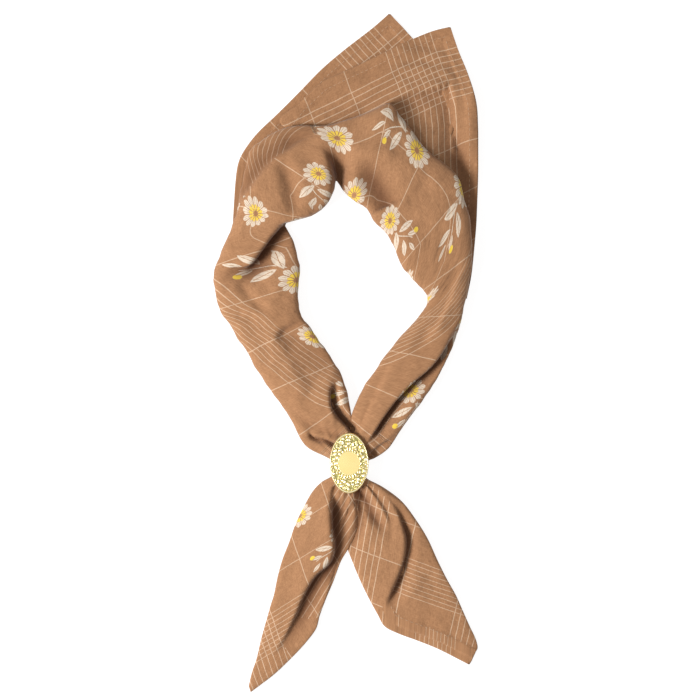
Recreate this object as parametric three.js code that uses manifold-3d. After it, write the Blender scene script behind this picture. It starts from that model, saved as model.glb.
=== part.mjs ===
// A neckerchief lying flat: a square of thin cotton folded corner to corner, rolled into a
// neck loop and drawn through an oval slide. Millimetres, +Z up, +Y towards the two loose corners.
import * as THREE from 'three';
import Module from 'manifold-3d';
import { mergeVertices } from 'three/addons/utils/BufferGeometryUtils.js';

const wasm = await Module();
wasm.setup();

// Overall sizes of the laid-out kerchief
const SPREAD = 174.3;            // widest place of the loop, left to right
const NECK_RISE = 296.7;         // top edge of the slide's loop to the farthest corner
const TAIL_DROP = 145.2;         // bottom edge of the slide's loop to the lowest tip
const ROLL_HEIGHT = 15.5;        // the rolled band where it is fullest

// Cloth
const PLY = 1.2;                 // one wall of cloth
const PLY_GAP = 0.5;             // air between two turns of the roll
const HEM_WIDTH = 6.5;           // turned edge of the square
const HEM_EXTRA = 0.7;           // how much thicker the turned edge is
const FLAP_GAP = 0.4;            // air between the two corners that lie on each other
const FLAP_WAVE = 2.4;           // height of the soft waves in the upper corner
const FLAP_PRESS = 0.67;         // share of a ply by which the roll presses on the corners below

// Slide
const PLATE_WIDTH = 25.5;
const PLATE_LENGTH = 39.6;
const PLATE_THICKNESS = 1.5;
const PLATE_DOME = 0.6;          // how much the middle of the plate stands above its rim
const RELIEF_HEIGHT = 0.8;       // cast ornament above the plate
const LOOP_OPENING_WIDTH = 21.6;
const LOOP_OPENING_HEIGHT = 10;
const LOOP_WALL = 1.2;
const LOOP_DEPTH = 6;            // along the strands
const LOOP_CORNER = 2.4;         // inner corner radius
const LOOP_BELOW_MIDDLE = 3.8;   // middle of the loop below the middle of the plate
const SOLDER_DEPTH = 0.5;        // how far the plate and the loop run into each other
const CLEARANCE = 0.3;           // between the cloth and the metal
const STRAND_GAP = 0.5;          // between the two strands inside the loop

// Places that follow from the sizes: x is 0 at the slide's middle, y is 0 at the loop's middle
const LOOP_TOP_Y = LOOP_DEPTH / 2;
const LOOP_BOTTOM_Y = -LOOP_DEPTH / 2;
const STRAND_WIDTH = (LOOP_OPENING_WIDTH - STRAND_GAP) / 2 - CLEARANCE;
const STRAND_HEIGHT = LOOP_OPENING_HEIGHT - 2 * CLEARANCE;
const STRAND_LIFT = LOOP_WALL + CLEARANCE;
const UPPER_LEVEL = PLY + HEM_EXTRA + FLAP_GAP;
const FLAP_LIFT = UPPER_LEVEL + PLY * FLAP_PRESS;
const PLATE_UNDERSIDE = LOOP_OPENING_HEIGHT + 2 * LOOP_WALL - SOLDER_DEPTH;
const CLOTH_CEILING = PLATE_UNDERSIDE - PLATE_DOME - CLEARANCE;

const neckPoint = (side, rise) => new THREE.Vector2(side * SPREAD, LOOP_TOP_Y + rise * NECK_RISE);
const tailPoint = (side, drop) => new THREE.Vector2(side * SPREAD, LOOP_BOTTOM_Y - drop * TAIL_DROP);

// Sections of the roll. Columns: side and rise (or drop) of the outer edge, the same of the inner
// edge, height. Sides are shares of SPREAD, rises of NECK_RISE, drops of TAIL_DROP, heights of
// ROLL_HEIGHT. The last column is the lift off the table, as a share of what lies underneath.
const LEFT_TAIL = [
  [-0.380, 0.966, -0.371, 1.000, 0.19, 0],
  [-0.369, 0.907, -0.335, 0.968, 0.20, 0],
  [-0.352, 0.846, -0.278, 0.915, 0.22, 0],
  [-0.332, 0.745, -0.212, 0.839, 0.27, 0],
  [-0.313, 0.664, -0.159, 0.770, 0.33, 0],
  [-0.298, 0.600, -0.122, 0.709, 0.37, 0],
  [-0.285, 0.550, -0.109, 0.652, 0.40, 0],
  [-0.271, 0.468, -0.087, 0.580, 0.44, 0],
  [-0.252, 0.388, -0.057, 0.498, 0.48, 0],
  [-0.228, 0.314, -0.027, 0.405, 0.53, 0.1],
  [-0.204, 0.231, 0.003, 0.343, 0.58, 0.2],
  [-0.175, 0.159, 0.030, 0.268, 0.61, 0.4],
  [-0.141, 0.086, 0.037, 0.195, 0.62, 0.6],
  [-0.106, 0.041, 0.026, 0.118, 0.61, 0.8],
  [-0.076, 0.020, 0.006, 0.055, 0.61, 1],
];
const NECK = [
  [-0.084, 0.013, 0.011, 0.073, 0.61, 0.9],
  [-0.150, 0.032, 0.007, 0.109, 0.64, 0.6],
  [-0.184, 0.054, 0.003, 0.136, 0.72, 0.3],
  [-0.218, 0.095, -0.006, 0.167, 0.82, 0],
  [-0.269, 0.139, -0.027, 0.200, 0.85, 0],
  [-0.332, 0.192, -0.087, 0.255, 0.87, 0],
  [-0.376, 0.235, -0.144, 0.305, 0.87, 0],
  [-0.420, 0.277, -0.176, 0.327, 0.86, 0],
  [-0.455, 0.310, -0.187, 0.358, 0.85, 0],
  [-0.487, 0.337, -0.187, 0.389, 0.84, 0],
  [-0.506, 0.380, -0.183, 0.435, 0.82, 0],
  [-0.510, 0.423, -0.200, 0.485, 0.80, 0],
  [-0.493, 0.456, -0.231, 0.519, 0.84, 0],
  [-0.464, 0.497, -0.233, 0.534, 0.88, 0.3],
  [-0.426, 0.549, -0.182, 0.541, 0.90, 0.9],
  [-0.411, 0.594, -0.137, 0.548, 0.92, 1],
  [-0.398, 0.638, -0.101, 0.560, 0.94, 1],
  [-0.373, 0.690, -0.072, 0.579, 0.95, 1],
  [-0.326, 0.717, -0.055, 0.599, 0.94, 1],
  [-0.262, 0.738, -0.050, 0.617, 0.92, 1],
  [-0.186, 0.749, -0.048, 0.624, 0.90, 1],
  [-0.115, 0.749, -0.045, 0.624, 0.90, 1],
  [-0.057, 0.752, -0.035, 0.615, 0.91, 1],
  [0.015, 0.765, -0.012, 0.595, 0.93, 1],
  [0.087, 0.781, 0.030, 0.574, 0.95, 1],
  [0.155, 0.798, 0.066, 0.560, 0.95, 1],
  [0.197, 0.766, 0.090, 0.538, 0.95, 1],
  [0.253, 0.724, 0.117, 0.520, 0.95, 1],
  [0.299, 0.690, 0.144, 0.502, 0.94, 1],
  [0.356, 0.664, 0.162, 0.480, 0.94, 1],
  [0.406, 0.638, 0.178, 0.459, 0.93, 1],
  [0.431, 0.592, 0.198, 0.436, 0.91, 1],
  [0.452, 0.547, 0.221, 0.417, 0.90, 1],
  [0.463, 0.500, 0.250, 0.396, 0.89, 1],
  [0.463, 0.440, 0.288, 0.372, 0.87, 0.7],
  [0.448, 0.380, 0.290, 0.350, 0.84, 0.2],
  [0.426, 0.327, 0.250, 0.321, 0.83, 0],
  [0.408, 0.285, 0.205, 0.290, 0.85, 0],
  [0.378, 0.240, 0.157, 0.260, 0.86, 0],
  [0.325, 0.182, 0.106, 0.218, 0.87, 0],
  [0.280, 0.142, 0.068, 0.187, 0.85, 0],
  [0.236, 0.107, 0.041, 0.158, 0.80, 0.1],
  [0.193, 0.071, 0.026, 0.133, 0.72, 0.3],
  [0.151, 0.034, 0.020, 0.105, 0.64, 0.6],
  [0.100, 0.012, 0.021, 0.070, 0.61, 0.9],
];
const RIGHT_TAIL = [
  [0.072, 0.027, 0.014, 0.060, 0.61, 1],
  [0.130, 0.064, 0.043, 0.118, 0.61, 0.8],
  [0.200, 0.128, 0.051, 0.186, 0.62, 0.6],
  [0.255, 0.214, 0.048, 0.259, 0.61, 0.4],
  [0.299, 0.300, 0.030, 0.332, 0.58, 0.2],
  [0.337, 0.400, 0.019, 0.414, 0.53, 0.1],
  [0.371, 0.482, 0.045, 0.505, 0.47, 0],
  [0.405, 0.555, 0.079, 0.586, 0.41, 0],
  [0.431, 0.625, 0.106, 0.645, 0.35, 0],
  [0.458, 0.698, 0.132, 0.698, 0.29, 0],
  [0.479, 0.751, 0.185, 0.732, 0.24, 0],
  [0.488, 0.793, 0.261, 0.766, 0.21, 0],
  [0.480, 0.816, 0.344, 0.807, 0.20, 0],
  [0.467, 0.849, 0.453, 0.876, 0.19, 0],
];

// Folds in the top of the roll. Each follows a line of points (side, rise or drop). It stands up by
// `crest` on one side, to the left of the line if `high` is 1 and to the right if it is -1, and falls
// by `valley` on the other; `high` 0 is a plain groove. Heights are shares of ROLL_HEIGHT, and widths
// are shares of SPREAD.
const NECK_FOLDS = [
  { line: [[-0.237, 0.534], [-0.311, 0.492], [-0.362, 0.452], [-0.503, 0.425]],
    high: -1, crest: 0.16, valley: 0.40, crestWidth: 0.07, valleyWidth: 0.07 },
  { line: [[-0.057, 0.625], [-0.080, 0.652], [-0.087, 0.676]],
    high: 1, crest: 0.10, valley: 0.42, crestWidth: 0.06, valleyWidth: 0.06 },
  { line: [[0.405, 0.300], [0.344, 0.250], [0.286, 0.216], [0.192, 0.152], [0.094, 0.078]],
    high: -1, crest: 0.10, valley: 0.26, crestWidth: 0.09, valleyWidth: 0.06 },
  { line: [[-0.072, 0.155], [-0.051, 0.107], [0.005, 0.076]],
    high: -1, crest: 0.10, valley: 0.26, crestWidth: 0.06, valleyWidth: 0.05 },
  { line: [[-0.186, 0.107], [-0.120, 0.089], [-0.051, 0.072]],
    high: 0, crest: 0, valley: 0.10, crestWidth: 0.04, valleyWidth: 0.03 },
  { line: [[-0.175, 0.323], [-0.265, 0.282], [-0.300, 0.240]],
    high: -1, crest: 0.06, valley: 0.14, crestWidth: 0.08, valleyWidth: 0.10 },
];
const TAIL_FOLDS = [
  { line: [[-0.020, 0.160], [-0.069, 0.291], [-0.150, 0.482], [-0.193, 0.627], [-0.278, 0.786]],
    high: -1, crest: 0.07, valley: 0.18, crestWidth: 0.05, valleyWidth: 0.05 },
  { line: [[0.157, 0.127], [0.194, 0.264], [0.183, 0.400], [0.120, 0.615]],
    high: -1, crest: 0.07, valley: 0.16, crestWidth: 0.06, valleyWidth: 0.06 },
  { line: [[0.037, 0.100], [0.072, 0.164], [0.140, 0.309]],
    high: 0, crest: 0, valley: 0.18, crestWidth: 0.04, valleyWidth: 0.035 },
];

// The two loose corners of the square, from the tip inwards. Columns: side and rise of the left
// edge, the same of the right edge, root. `root` 1 is where an edge runs up into the roll.
const UNDER_CORNER = [
  [0.149, 0.998, 0.156, 0.998, 0],
  [0.087, 0.966, 0.197, 0.972, 0],
  [-0.021, 0.917, 0.243, 0.943, 0],
  [-0.103, 0.876, 0.310, 0.899, 0],
  [-0.188, 0.825, 0.374, 0.856, 0],
  [-0.275, 0.774, 0.400, 0.807, 0],
  [-0.349, 0.732, 0.400, 0.752, 0],
  [-0.398, 0.694, 0.320, 0.650, 1],
  [-0.420, 0.665, 0.115, 0.660, 1],
  [-0.430, 0.625, -0.110, 0.663, 1],
  [-0.436, 0.574, -0.250, 0.620, 1],
  [-0.440, 0.535, -0.330, 0.560, 1],
];
const UPPER_CORNER = [
  [0.378, 0.969, 0.384, 0.968, 0],
  [0.305, 0.958, 0.412, 0.919, 0],
  [0.203, 0.932, 0.449, 0.864, 0],
  [0.072, 0.894, 0.479, 0.800, 0],
  [-0.034, 0.865, 0.486, 0.750, 0],
  [-0.108, 0.843, 0.487, 0.696, 0],
  [-0.191, 0.796, 0.487, 0.632, 0],
  [-0.254, 0.750, 0.484, 0.577, 0],
  [0.000, 0.680, 0.481, 0.530, 1],
  [0.160, 0.610, 0.474, 0.483, 1],
  [0.310, 0.520, 0.463, 0.419, 1],
  [0.390, 0.430, 0.445, 0.365, 1],
];

// Resolution
const STRIP_STEPS = 24;          // along the wound cloth, across the roll
const BEND_WEIGHT = 6;           // extra samples where the cloth turns
const CORNER_STEPS = 12;         // across a loose corner
const RING_STEPS = 12;           // middle to rim of the plate
const SECTOR_STEPS = 44;         // round the plate

const mix = (a, b, share) => a + (b - a) * share;

function smooth(low, high, value) {
  const share = Math.min(1, Math.max(0, (value - low) / (high - low)));
  return share * share * (3 - 2 * share);
}

// Nearest place on a line of points: signed distance (left is positive) and share along it
function placeOnLine(line, point) {
  const best = { distance: Infinity, side: 1, along: 0 };
  const total = line.length - 1;
  for (let index = 0; index < total; index += 1) {
    const start = line[index];
    const run = line[index + 1].clone().sub(start);
    const reach = point.clone().sub(start);
    const share = Math.min(1, Math.max(0, reach.dot(run) / run.lengthSq()));
    const off = reach.clone().sub(run.clone().multiplyScalar(share));
    if (off.length() < best.distance) {
      best.distance = off.length();
      best.side = Math.sign(run.x * reach.y - run.y * reach.x) || 1;
      best.along = (index + share) / total;
    }
  }
  return best;
}

const EDGE_SOFTNESS = 1.6;       // how far a fold's step is spread out
const FOLD_END = 0.22;           // share of a fold's line over which it fades out

function foldHeight(fold, point) {
  const place = placeOnLine(fold.line, point);
  const fade = smooth(0, FOLD_END, place.along) * smooth(0, FOLD_END, 1 - place.along);
  const valleyShare = Math.exp(-((place.distance / (fold.valleyWidth * SPREAD)) ** 2));
  const fall = -fold.valley * ROLL_HEIGHT * valleyShare;
  if (fold.high === 0) {
    return fade * fall;
  }
  const lift = fold.crest * ROLL_HEIGHT * Math.exp(-((place.distance / (fold.crestWidth * SPREAD)) ** 2));
  const upper = 0.5 + 0.5 * Math.tanh((fold.high * place.side * place.distance) / EDGE_SOFTNESS);
  return fade * mix(fall, lift, upper);
}

const placeFolds = (folds, toPoint) => folds.map((fold) => ({
  ...fold,
  line: fold.line.map(([side, reach]) => toPoint(side, reach)),
}));
const folds = [...placeFolds(NECK_FOLDS, neckPoint), ...placeFolds(TAIL_FOLDS, tailPoint)];
const reliefAt = (point) => folds.reduce((sum, fold) => sum + foldHeight(fold, point), 0);

// The rows of the whole roll, from the left tail's tip round the neck to the right tail's tip
function rollRow(toPoint, row, restLift) {
  const [outSide, outReach, inSide, inReach, height, lift] = row;
  const least = 2 * PLY + PLY_GAP;
  return {
    outer: toPoint(outSide, outReach),
    inner: toPoint(inSide, inReach),
    height: Math.max(least, height * ROLL_HEIGHT),
    lift: lift * restLift,
  };
}

function strandRow(sign, y) {
  return {
    outer: new THREE.Vector2(sign * (STRAND_GAP / 2 + STRAND_WIDTH), y),
    inner: new THREE.Vector2(sign * (STRAND_GAP / 2), y),
    height: STRAND_HEIGHT,
    lift: STRAND_LIFT,
  };
}

function rollRows() {
  const overFlaps = (row) => (row[3] > 0.3 && row[5] > 0 ? FLAP_LIFT : STRAND_LIFT);
  const endMargin = LOOP_DEPTH / 12;
  const rows = LEFT_TAIL.map((row) => rollRow(tailPoint, row, STRAND_LIFT));
  rows.push(strandRow(-1, LOOP_BOTTOM_Y - endMargin));
  rows.push(strandRow(-1, LOOP_TOP_Y + endMargin));
  rows.push(...NECK.map((row) => rollRow(neckPoint, row, overFlaps(row))));
  rows.push(strandRow(1, LOOP_TOP_Y + endMargin));
  rows.push(strandRow(1, LOOP_BOTTOM_Y - endMargin));
  rows.push(...RIGHT_TAIL.map((row) => rollRow(tailPoint, row, STRAND_LIFT)));
  return rows;
}

// The plate holds down the cloth that runs out from under it
const HOLD_NEAR = 1.15;          // in plate radii, as far as the cloth stays below the plate
const HOLD_FAR = 1.6;
function heldDown(place, z) {
  const across = place.x / (PLATE_WIDTH / 2);
  const along = (place.y - LOOP_BELOW_MIDDLE) / (PLATE_LENGTH / 2);
  const hold = smooth(HOLD_FAR, HOLD_NEAR, Math.hypot(across, along));
  return mix(z, Math.min(z, CLOTH_CEILING - PLY / 2), hold);
}

const power = (value, exponent) => Math.sign(value) * Math.abs(value) ** exponent;
const ROUNDNESS = 0.62;          // below 1 the roll's section is squarer than an ellipse
const TURN_START = 0.12;         // where the cloth's lower edge starts in a flat double ply
const WOUND_START = Math.PI / 3; // the same in the full roll, as an angle round it
const WOUND_END = 1.95;          // how far past one turn the cloth goes on inside the full roll
const FLAT_HEIGHT = 5.5;         // under this height the cloth is folded double, not wound
const WOUND_HEIGHT = 9;          // from this height on it is fully wound
const FINE_STEPS = 240;

// Middle line of the wound cloth in one section, as places across (0 to 1) and heights
function woundLine(row) {
  const width = row.outer.distanceTo(row.inner);
  const wound = smooth(FLAT_HEIGHT, WOUND_HEIGHT, row.height);
  const start = mix(TURN_START, WOUND_START, wound);
  const end = 2 * Math.PI + mix(-TURN_START, WOUND_END, wound);
  const line = [];
  for (let step = 0; step <= FINE_STEPS; step += 1) {
    const angle = mix(start, end, step / FINE_STEPS);
    const inward = smooth(1.75 * Math.PI, 2.25 * Math.PI, angle) * (PLY + PLY_GAP) * wound;
    const halfWidth = Math.max(PLY, width / 2 - PLY / 2 - inward);
    const halfHeight = row.height / 2 - PLY / 2 - inward;
    const across = width / 2 + halfWidth * power(Math.cos(angle), ROUNDNESS);
    const up = row.height / 2 - halfHeight * power(Math.sin(angle), ROUNDNESS);
    const place = row.outer.clone().lerp(row.inner, across / width);
    const upperHalf = smooth(0.3, 0.8, 2 * (up / row.height) - 1);
    const onTop = upperHalf * smooth(2.1 * Math.PI, 1.95 * Math.PI, angle);
    const deepest = Math.max(0, row.height - 3 * (PLY + PLY_GAP) - PLY);
    const relief = onTop * Math.max(reliefAt(place), -deepest);
    line.push(new THREE.Vector2(across, heldDown(place, row.lift + up + relief)));
  }
  return line;
}

// Samples of a line that lie closer where it bends
function resample(line, steps) {
  const reach = [0];
  for (let index = 1; index < line.length; index += 1) {
    const piece = line[index].clone().sub(line[index - 1]);
    const before = line[Math.max(1, index - 1)].clone().sub(line[Math.max(0, index - 2)]);
    const turn = Math.abs(Math.atan2(before.cross(piece), before.dot(piece))) || 0;
    reach.push(reach[index - 1] + piece.length() + BEND_WEIGHT * turn);
  }
  const total = reach[reach.length - 1];
  const samples = [];
  let index = 0;
  for (let step = 0; step <= steps; step += 1) {
    const target = (total * step) / steps;
    while (index < line.length - 2 && reach[index + 1] < target) {
      index += 1;
    }
    const share = (target - reach[index]) / (reach[index + 1] - reach[index]);
    samples.push(line[index].clone().lerp(line[index + 1], share));
  }
  return samples;
}

// Both faces of a wall, from its middle line
function wallFaces(samples, thickness) {
  return samples.map((sample, index) => {
    const before = samples[Math.max(0, index - 1)];
    const after = samples[Math.min(samples.length - 1, index + 1)];
    const along = after.clone().sub(before).normalize();
    const across = new THREE.Vector2(along.y, -along.x).multiplyScalar(thickness / 2);
    return [sample.clone().add(across), sample.clone().sub(across)];
  });
}

// A closed mesh from rows of paired points: front[row][step] and back[row][step]
function sheetGeometry(front, back) {
  const rowCount = front.length;
  const stepCount = front[0].length;
  const positions = [];
  [front, back].forEach((face) => face.forEach((row) => row.forEach((point) => {
    positions.push(point.x, point.y, point.z);
  })));
  const at = (face, row, step) => face * rowCount * stepCount + row * stepCount + step;
  const triangles = [];
  const quad = (a, b, c, d) => triangles.push(a, b, c, a, c, d);
  for (let row = 0; row < rowCount - 1; row += 1) {
    for (let step = 0; step < stepCount - 1; step += 1) {
      quad(at(0, row, step), at(0, row + 1, step), at(0, row + 1, step + 1), at(0, row, step + 1));
      quad(at(1, row, step), at(1, row, step + 1), at(1, row + 1, step + 1), at(1, row + 1, step));
    }
    quad(at(0, row, 0), at(1, row, 0), at(1, row + 1, 0), at(0, row + 1, 0));
    const last = stepCount - 1;
    quad(at(0, row, last), at(0, row + 1, last), at(1, row + 1, last), at(1, row, last));
  }
  for (let step = 0; step < stepCount - 1; step += 1) {
    const last = rowCount - 1;
    quad(at(0, 0, step), at(0, 0, step + 1), at(1, 0, step + 1), at(1, 0, step));
    quad(at(0, last, step), at(1, last, step), at(1, last, step + 1), at(0, last, step + 1));
  }
  const geometry = new THREE.BufferGeometry();
  geometry.setAttribute('position', new THREE.Float32BufferAttribute(positions, 3));
  geometry.setIndex(triangles);
  return geometry;
}

function rollGeometry() {
  const front = [];
  const back = [];
  rollRows().forEach((row) => {
    const width = row.outer.distanceTo(row.inner);
    const toSpace = (flat) => {
      const place = row.outer.clone().lerp(row.inner, flat.x / width);
      return new THREE.Vector3(place.x, place.y, flat.y);
    };
    const faces = wallFaces(resample(woundLine(row), STRIP_STEPS), PLY);
    front.push(faces.map(([outside]) => toSpace(outside)));
    back.push(faces.map(([, inside]) => toSpace(inside)));
  });
  return sheetGeometry(front, back);
}

// Places across a loose corner: the hems at both edges, and even steps between them
function cornerStops(width) {
  const hem = Math.min(HEM_WIDTH, width * 0.4) / width;
  const shoulder = Math.min(HEM_WIDTH + HEM_EXTRA, width * 0.44) / width;
  const stops = [0, hem];
  const inside = CORNER_STEPS - 4;
  for (let step = 0; step <= inside; step += 1) {
    stops.push(mix(shoulder, 1 - shoulder, step / inside));
  }
  return [...stops, 1 - hem, 1];
}

// A loose corner of the square. `rootSide` is the edge that runs into the roll: 0 left, 1 right.
function cornerGeometry(table, level, rootSide, waveAt) {
  const front = [];
  const back = [];
  table.forEach(([leftSide, leftRise, rightSide, rightRise, root]) => {
    const left = neckPoint(leftSide, leftRise);
    const right = neckPoint(rightSide, rightRise);
    const topRow = [];
    const bottomRow = [];
    cornerStops(left.distanceTo(right)).forEach((share, index, stops) => {
      const place = left.clone().lerp(right, share);
      const fromRoot = rootSide === 1 ? share : 1 - share;
      const climb = root * smooth(0.5, 0.95, fromRoot);
      const hemmed = index < 2 || index > stops.length - 3;
      const bottom = mix(level + waveAt(place), FLAP_LIFT - PLY / 8, climb);
      const thickness = PLY + (hemmed ? HEM_EXTRA * (1 - climb) : 0);
      topRow.push(new THREE.Vector3(place.x, place.y, bottom + thickness));
      bottomRow.push(new THREE.Vector3(place.x, place.y, bottom));
    });
    front.push(topRow);
    back.push(bottomRow);
  });
  return sheetGeometry(front, back);
}

// Soft waves of the upper corner, highest beside its right edge, where it lies off the other corner
function upperWave(place) {
  const side = place.x / SPREAD;
  const rise = (place.y - LOOP_TOP_Y) / NECK_RISE;
  const fold = Math.exp(-(((side - 0.43) / 0.035) ** 2)) * smooth(0.98, 0.85, rise);
  return FLAP_WAVE * fold * smooth(0.40, 0.62, rise);
}

function toSolid(geometry) {
  geometry.deleteAttribute('normal');
  geometry.deleteAttribute('uv');
  const merged = mergeVertices(geometry, 1e-4);
  const vertProperties = new Float32Array(merged.attributes.position.array);
  const triVerts = new Uint32Array(merged.index.array);
  return new wasm.Manifold(new wasm.Mesh({ numProp: 3, vertProperties, triVerts }));
}

function toGeometry(solid) {
  const mesh = solid.getMesh();
  const geometry = new THREE.BufferGeometry();
  geometry.setAttribute('position', new THREE.BufferAttribute(mesh.vertProperties, 3));
  geometry.setIndex(new THREE.BufferAttribute(mesh.triVerts, 1));
  geometry.computeVertexNormals();
  return geometry;
}

function kerchiefGeometry() {
  const roll = toSolid(rollGeometry());
  const under = toSolid(cornerGeometry(UNDER_CORNER, 0, 1, () => 0));
  const upper = toSolid(cornerGeometry(UPPER_CORNER, UPPER_LEVEL, 0, upperWave));
  return toGeometry(roll.add(under).add(upper));
}

// Height of the cast ornament at a share of the way from the plate's middle to its rim
const PLAIN_MIDDLE = 0.56;       // share of the plate that is plain
const LOBES = 16;                // lobes round the plain middle
const SCROLLS = 14;              // scrolls near the rim
const RIM_START = 0.93;
function ornament(share, angle) {
  const lobe = 0.5 + 0.5 * Math.cos(LOBES * angle);
  const scroll = 0.5 + 0.5 * Math.cos(SCROLLS * angle + 8 * share);
  const inLobes = smooth(PLAIN_MIDDLE, PLAIN_MIDDLE + 0.06, share) * smooth(0.74, 0.68, share);
  const inScrolls = smooth(0.72, 0.77, share) * smooth(RIM_START, RIM_START - 0.05, share);
  const rim = smooth(RIM_START - 0.03, RIM_START + 0.02, share);
  const middle = smooth(PLAIN_MIDDLE + 0.02, PLAIN_MIDDLE - 0.04, share);
  return RELIEF_HEIGHT * (0.55 * middle + 0.9 * lobe * inLobes + 0.8 * scroll * inScrolls + 0.7 * rim);
}

function plateGeometry() {
  const positions = [];
  const triangles = [];
  const heightAt = (share) => PLATE_UNDERSIDE - PLATE_DOME * share * share;
  const place = (share, angle, z) => {
    positions.push((PLATE_WIDTH / 2) * share * Math.cos(angle));
    positions.push(LOOP_BELOW_MIDDLE + (PLATE_LENGTH / 2) * share * Math.sin(angle), z);
  };
  place(0, 0, heightAt(0) + PLATE_THICKNESS + ornament(0, 0));
  place(0, 0, heightAt(0));
  for (let ring = 1; ring <= RING_STEPS; ring += 1) {
    for (let sector = 0; sector < SECTOR_STEPS; sector += 1) {
      const share = ring / RING_STEPS;
      const angle = (2 * Math.PI * sector) / SECTOR_STEPS;
      place(share, angle, heightAt(share) + PLATE_THICKNESS + ornament(share, angle));
      place(share, angle, heightAt(share));
    }
  }
  const at = (ring, sector, face) => 2 + 2 * ((ring - 1) * SECTOR_STEPS + (sector % SECTOR_STEPS)) + face;
  for (let sector = 0; sector < SECTOR_STEPS; sector += 1) {
    triangles.push(0, at(1, sector, 0), at(1, sector + 1, 0));
    triangles.push(1, at(1, sector + 1, 1), at(1, sector, 1));
    for (let ring = 1; ring < RING_STEPS; ring += 1) {
      const [a, b] = [at(ring, sector, 0), at(ring, sector + 1, 0)];
      const [c, d] = [at(ring + 1, sector, 0), at(ring + 1, sector + 1, 0)];
      triangles.push(a, c, d, a, d, b);
      triangles.push(a + 1, d + 1, c + 1, a + 1, b + 1, d + 1);
    }
    const [e, f] = [at(RING_STEPS, sector, 0), at(RING_STEPS, sector + 1, 0)];
    triangles.push(e, e + 1, f + 1, e, f + 1, f);
  }
  const geometry = new THREE.BufferGeometry();
  geometry.setAttribute('position', new THREE.Float32BufferAttribute(positions, 3));
  geometry.setIndex(triangles);
  return geometry;
}

function roundedRectangle(width, height, radius) {
  const shape = new THREE.Shape();
  const [x, y] = [width / 2, height / 2];
  shape.moveTo(-x + radius, -y);
  shape.lineTo(x - radius, -y);
  shape.absarc(x - radius, -y + radius, radius, -Math.PI / 2, 0);
  shape.lineTo(x, y - radius);
  shape.absarc(x - radius, y - radius, radius, 0, Math.PI / 2);
  shape.lineTo(-x + radius, y);
  shape.absarc(-x + radius, y - radius, radius, Math.PI / 2, Math.PI);
  shape.lineTo(-x, -y + radius);
  shape.absarc(-x + radius, -y + radius, radius, Math.PI, 1.5 * Math.PI);
  return shape;
}

function loopGeometry() {
  const outer = roundedRectangle(
    LOOP_OPENING_WIDTH + 2 * LOOP_WALL,
    LOOP_OPENING_HEIGHT + 2 * LOOP_WALL,
    LOOP_CORNER + LOOP_WALL,
  );
  outer.holes.push(roundedRectangle(LOOP_OPENING_WIDTH, LOOP_OPENING_HEIGHT, LOOP_CORNER));
  const geometry = new THREE.ExtrudeGeometry(outer, {
    depth: LOOP_DEPTH,
    bevelEnabled: false,
    curveSegments: 6,
  });
  geometry.translate(0, 0, -LOOP_DEPTH / 2);
  geometry.rotateX(Math.PI / 2);
  geometry.translate(0, 0, LOOP_OPENING_HEIGHT / 2 + LOOP_WALL);
  return geometry;
}

function slideGeometry() {
  return toGeometry(toSolid(plateGeometry()).add(toSolid(loopGeometry())));
}

const cotton = new THREE.MeshStandardMaterial({ color: 0xb0805c, roughness: 0.9, metalness: 0 });
const gold = new THREE.MeshStandardMaterial({ color: 0xdcc878, roughness: 0.32, metalness: 1 });

const kerchief = new THREE.Mesh(kerchiefGeometry(), cotton);
kerchief.name = 'kerchief';
const slide = new THREE.Mesh(slideGeometry(), gold);
slide.name = 'slide';

// The group's origin is on the table, under the middle of the whole
const group = new THREE.Group();
group.add(kerchief, slide);
const box = new THREE.Box3().setFromObject(group);
const middle = box.getCenter(new THREE.Vector3());
kerchief.position.set(-middle.x, -middle.y, -box.min.z);
slide.position.set(-middle.x, -middle.y, -box.min.z);

export default group;
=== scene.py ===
# A printed cotton neckerchief laid flat, drawn through a cast oval slide, seen from straight above.
import math
from collections import namedtuple

import bpy
import numpy as np
from mathutils import Matrix, Vector


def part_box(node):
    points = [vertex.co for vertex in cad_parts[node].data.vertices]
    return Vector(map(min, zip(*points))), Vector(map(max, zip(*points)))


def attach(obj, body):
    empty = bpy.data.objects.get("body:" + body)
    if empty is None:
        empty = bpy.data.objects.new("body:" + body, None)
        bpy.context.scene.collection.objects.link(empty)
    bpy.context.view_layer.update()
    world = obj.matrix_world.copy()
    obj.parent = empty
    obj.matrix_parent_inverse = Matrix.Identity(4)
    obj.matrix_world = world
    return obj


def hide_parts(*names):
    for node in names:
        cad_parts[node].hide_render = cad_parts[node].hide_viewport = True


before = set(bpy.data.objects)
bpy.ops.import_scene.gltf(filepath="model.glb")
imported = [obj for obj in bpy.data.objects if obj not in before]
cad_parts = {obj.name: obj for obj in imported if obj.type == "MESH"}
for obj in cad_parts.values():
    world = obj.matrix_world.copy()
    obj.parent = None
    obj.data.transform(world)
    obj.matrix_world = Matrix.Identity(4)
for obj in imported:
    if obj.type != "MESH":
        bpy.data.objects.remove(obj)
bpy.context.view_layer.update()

# Sizes in metres, the same as the frame's
MM = 0.001
SPREAD = 0.1743
NECK_RISE = 0.2967
TAIL_DROP = 0.1452
ROLL_HEIGHT = 0.0155
PLY = 0.0006
PLY_GAP = 0.0003
HEM_WIDTH = 0.0065
HEM_EXTRA = 0.0006
SEAM_INSET = 0.0056
UPPER_LEVEL = 0.0021
ROLL_LIFT = 0.0031
PLATE_THICKNESS = 0.0015
PLATE_DOME = 0.0006
RELIEF_HEIGHT = 0.0008
LOOP_OPENING_WIDTH = 0.0216
LOOP_OPENING_HEIGHT = 0.010
LOOP_WALL = 0.0012
LOOP_DEPTH = 0.006
LOOP_CORNER = 0.0024
LOOP_BELOW_MIDDLE = 0.0038
SOLDER_DEPTH = 0.0005
CLEARANCE = 0.0003
STRAND_GAP = 0.0005

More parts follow.
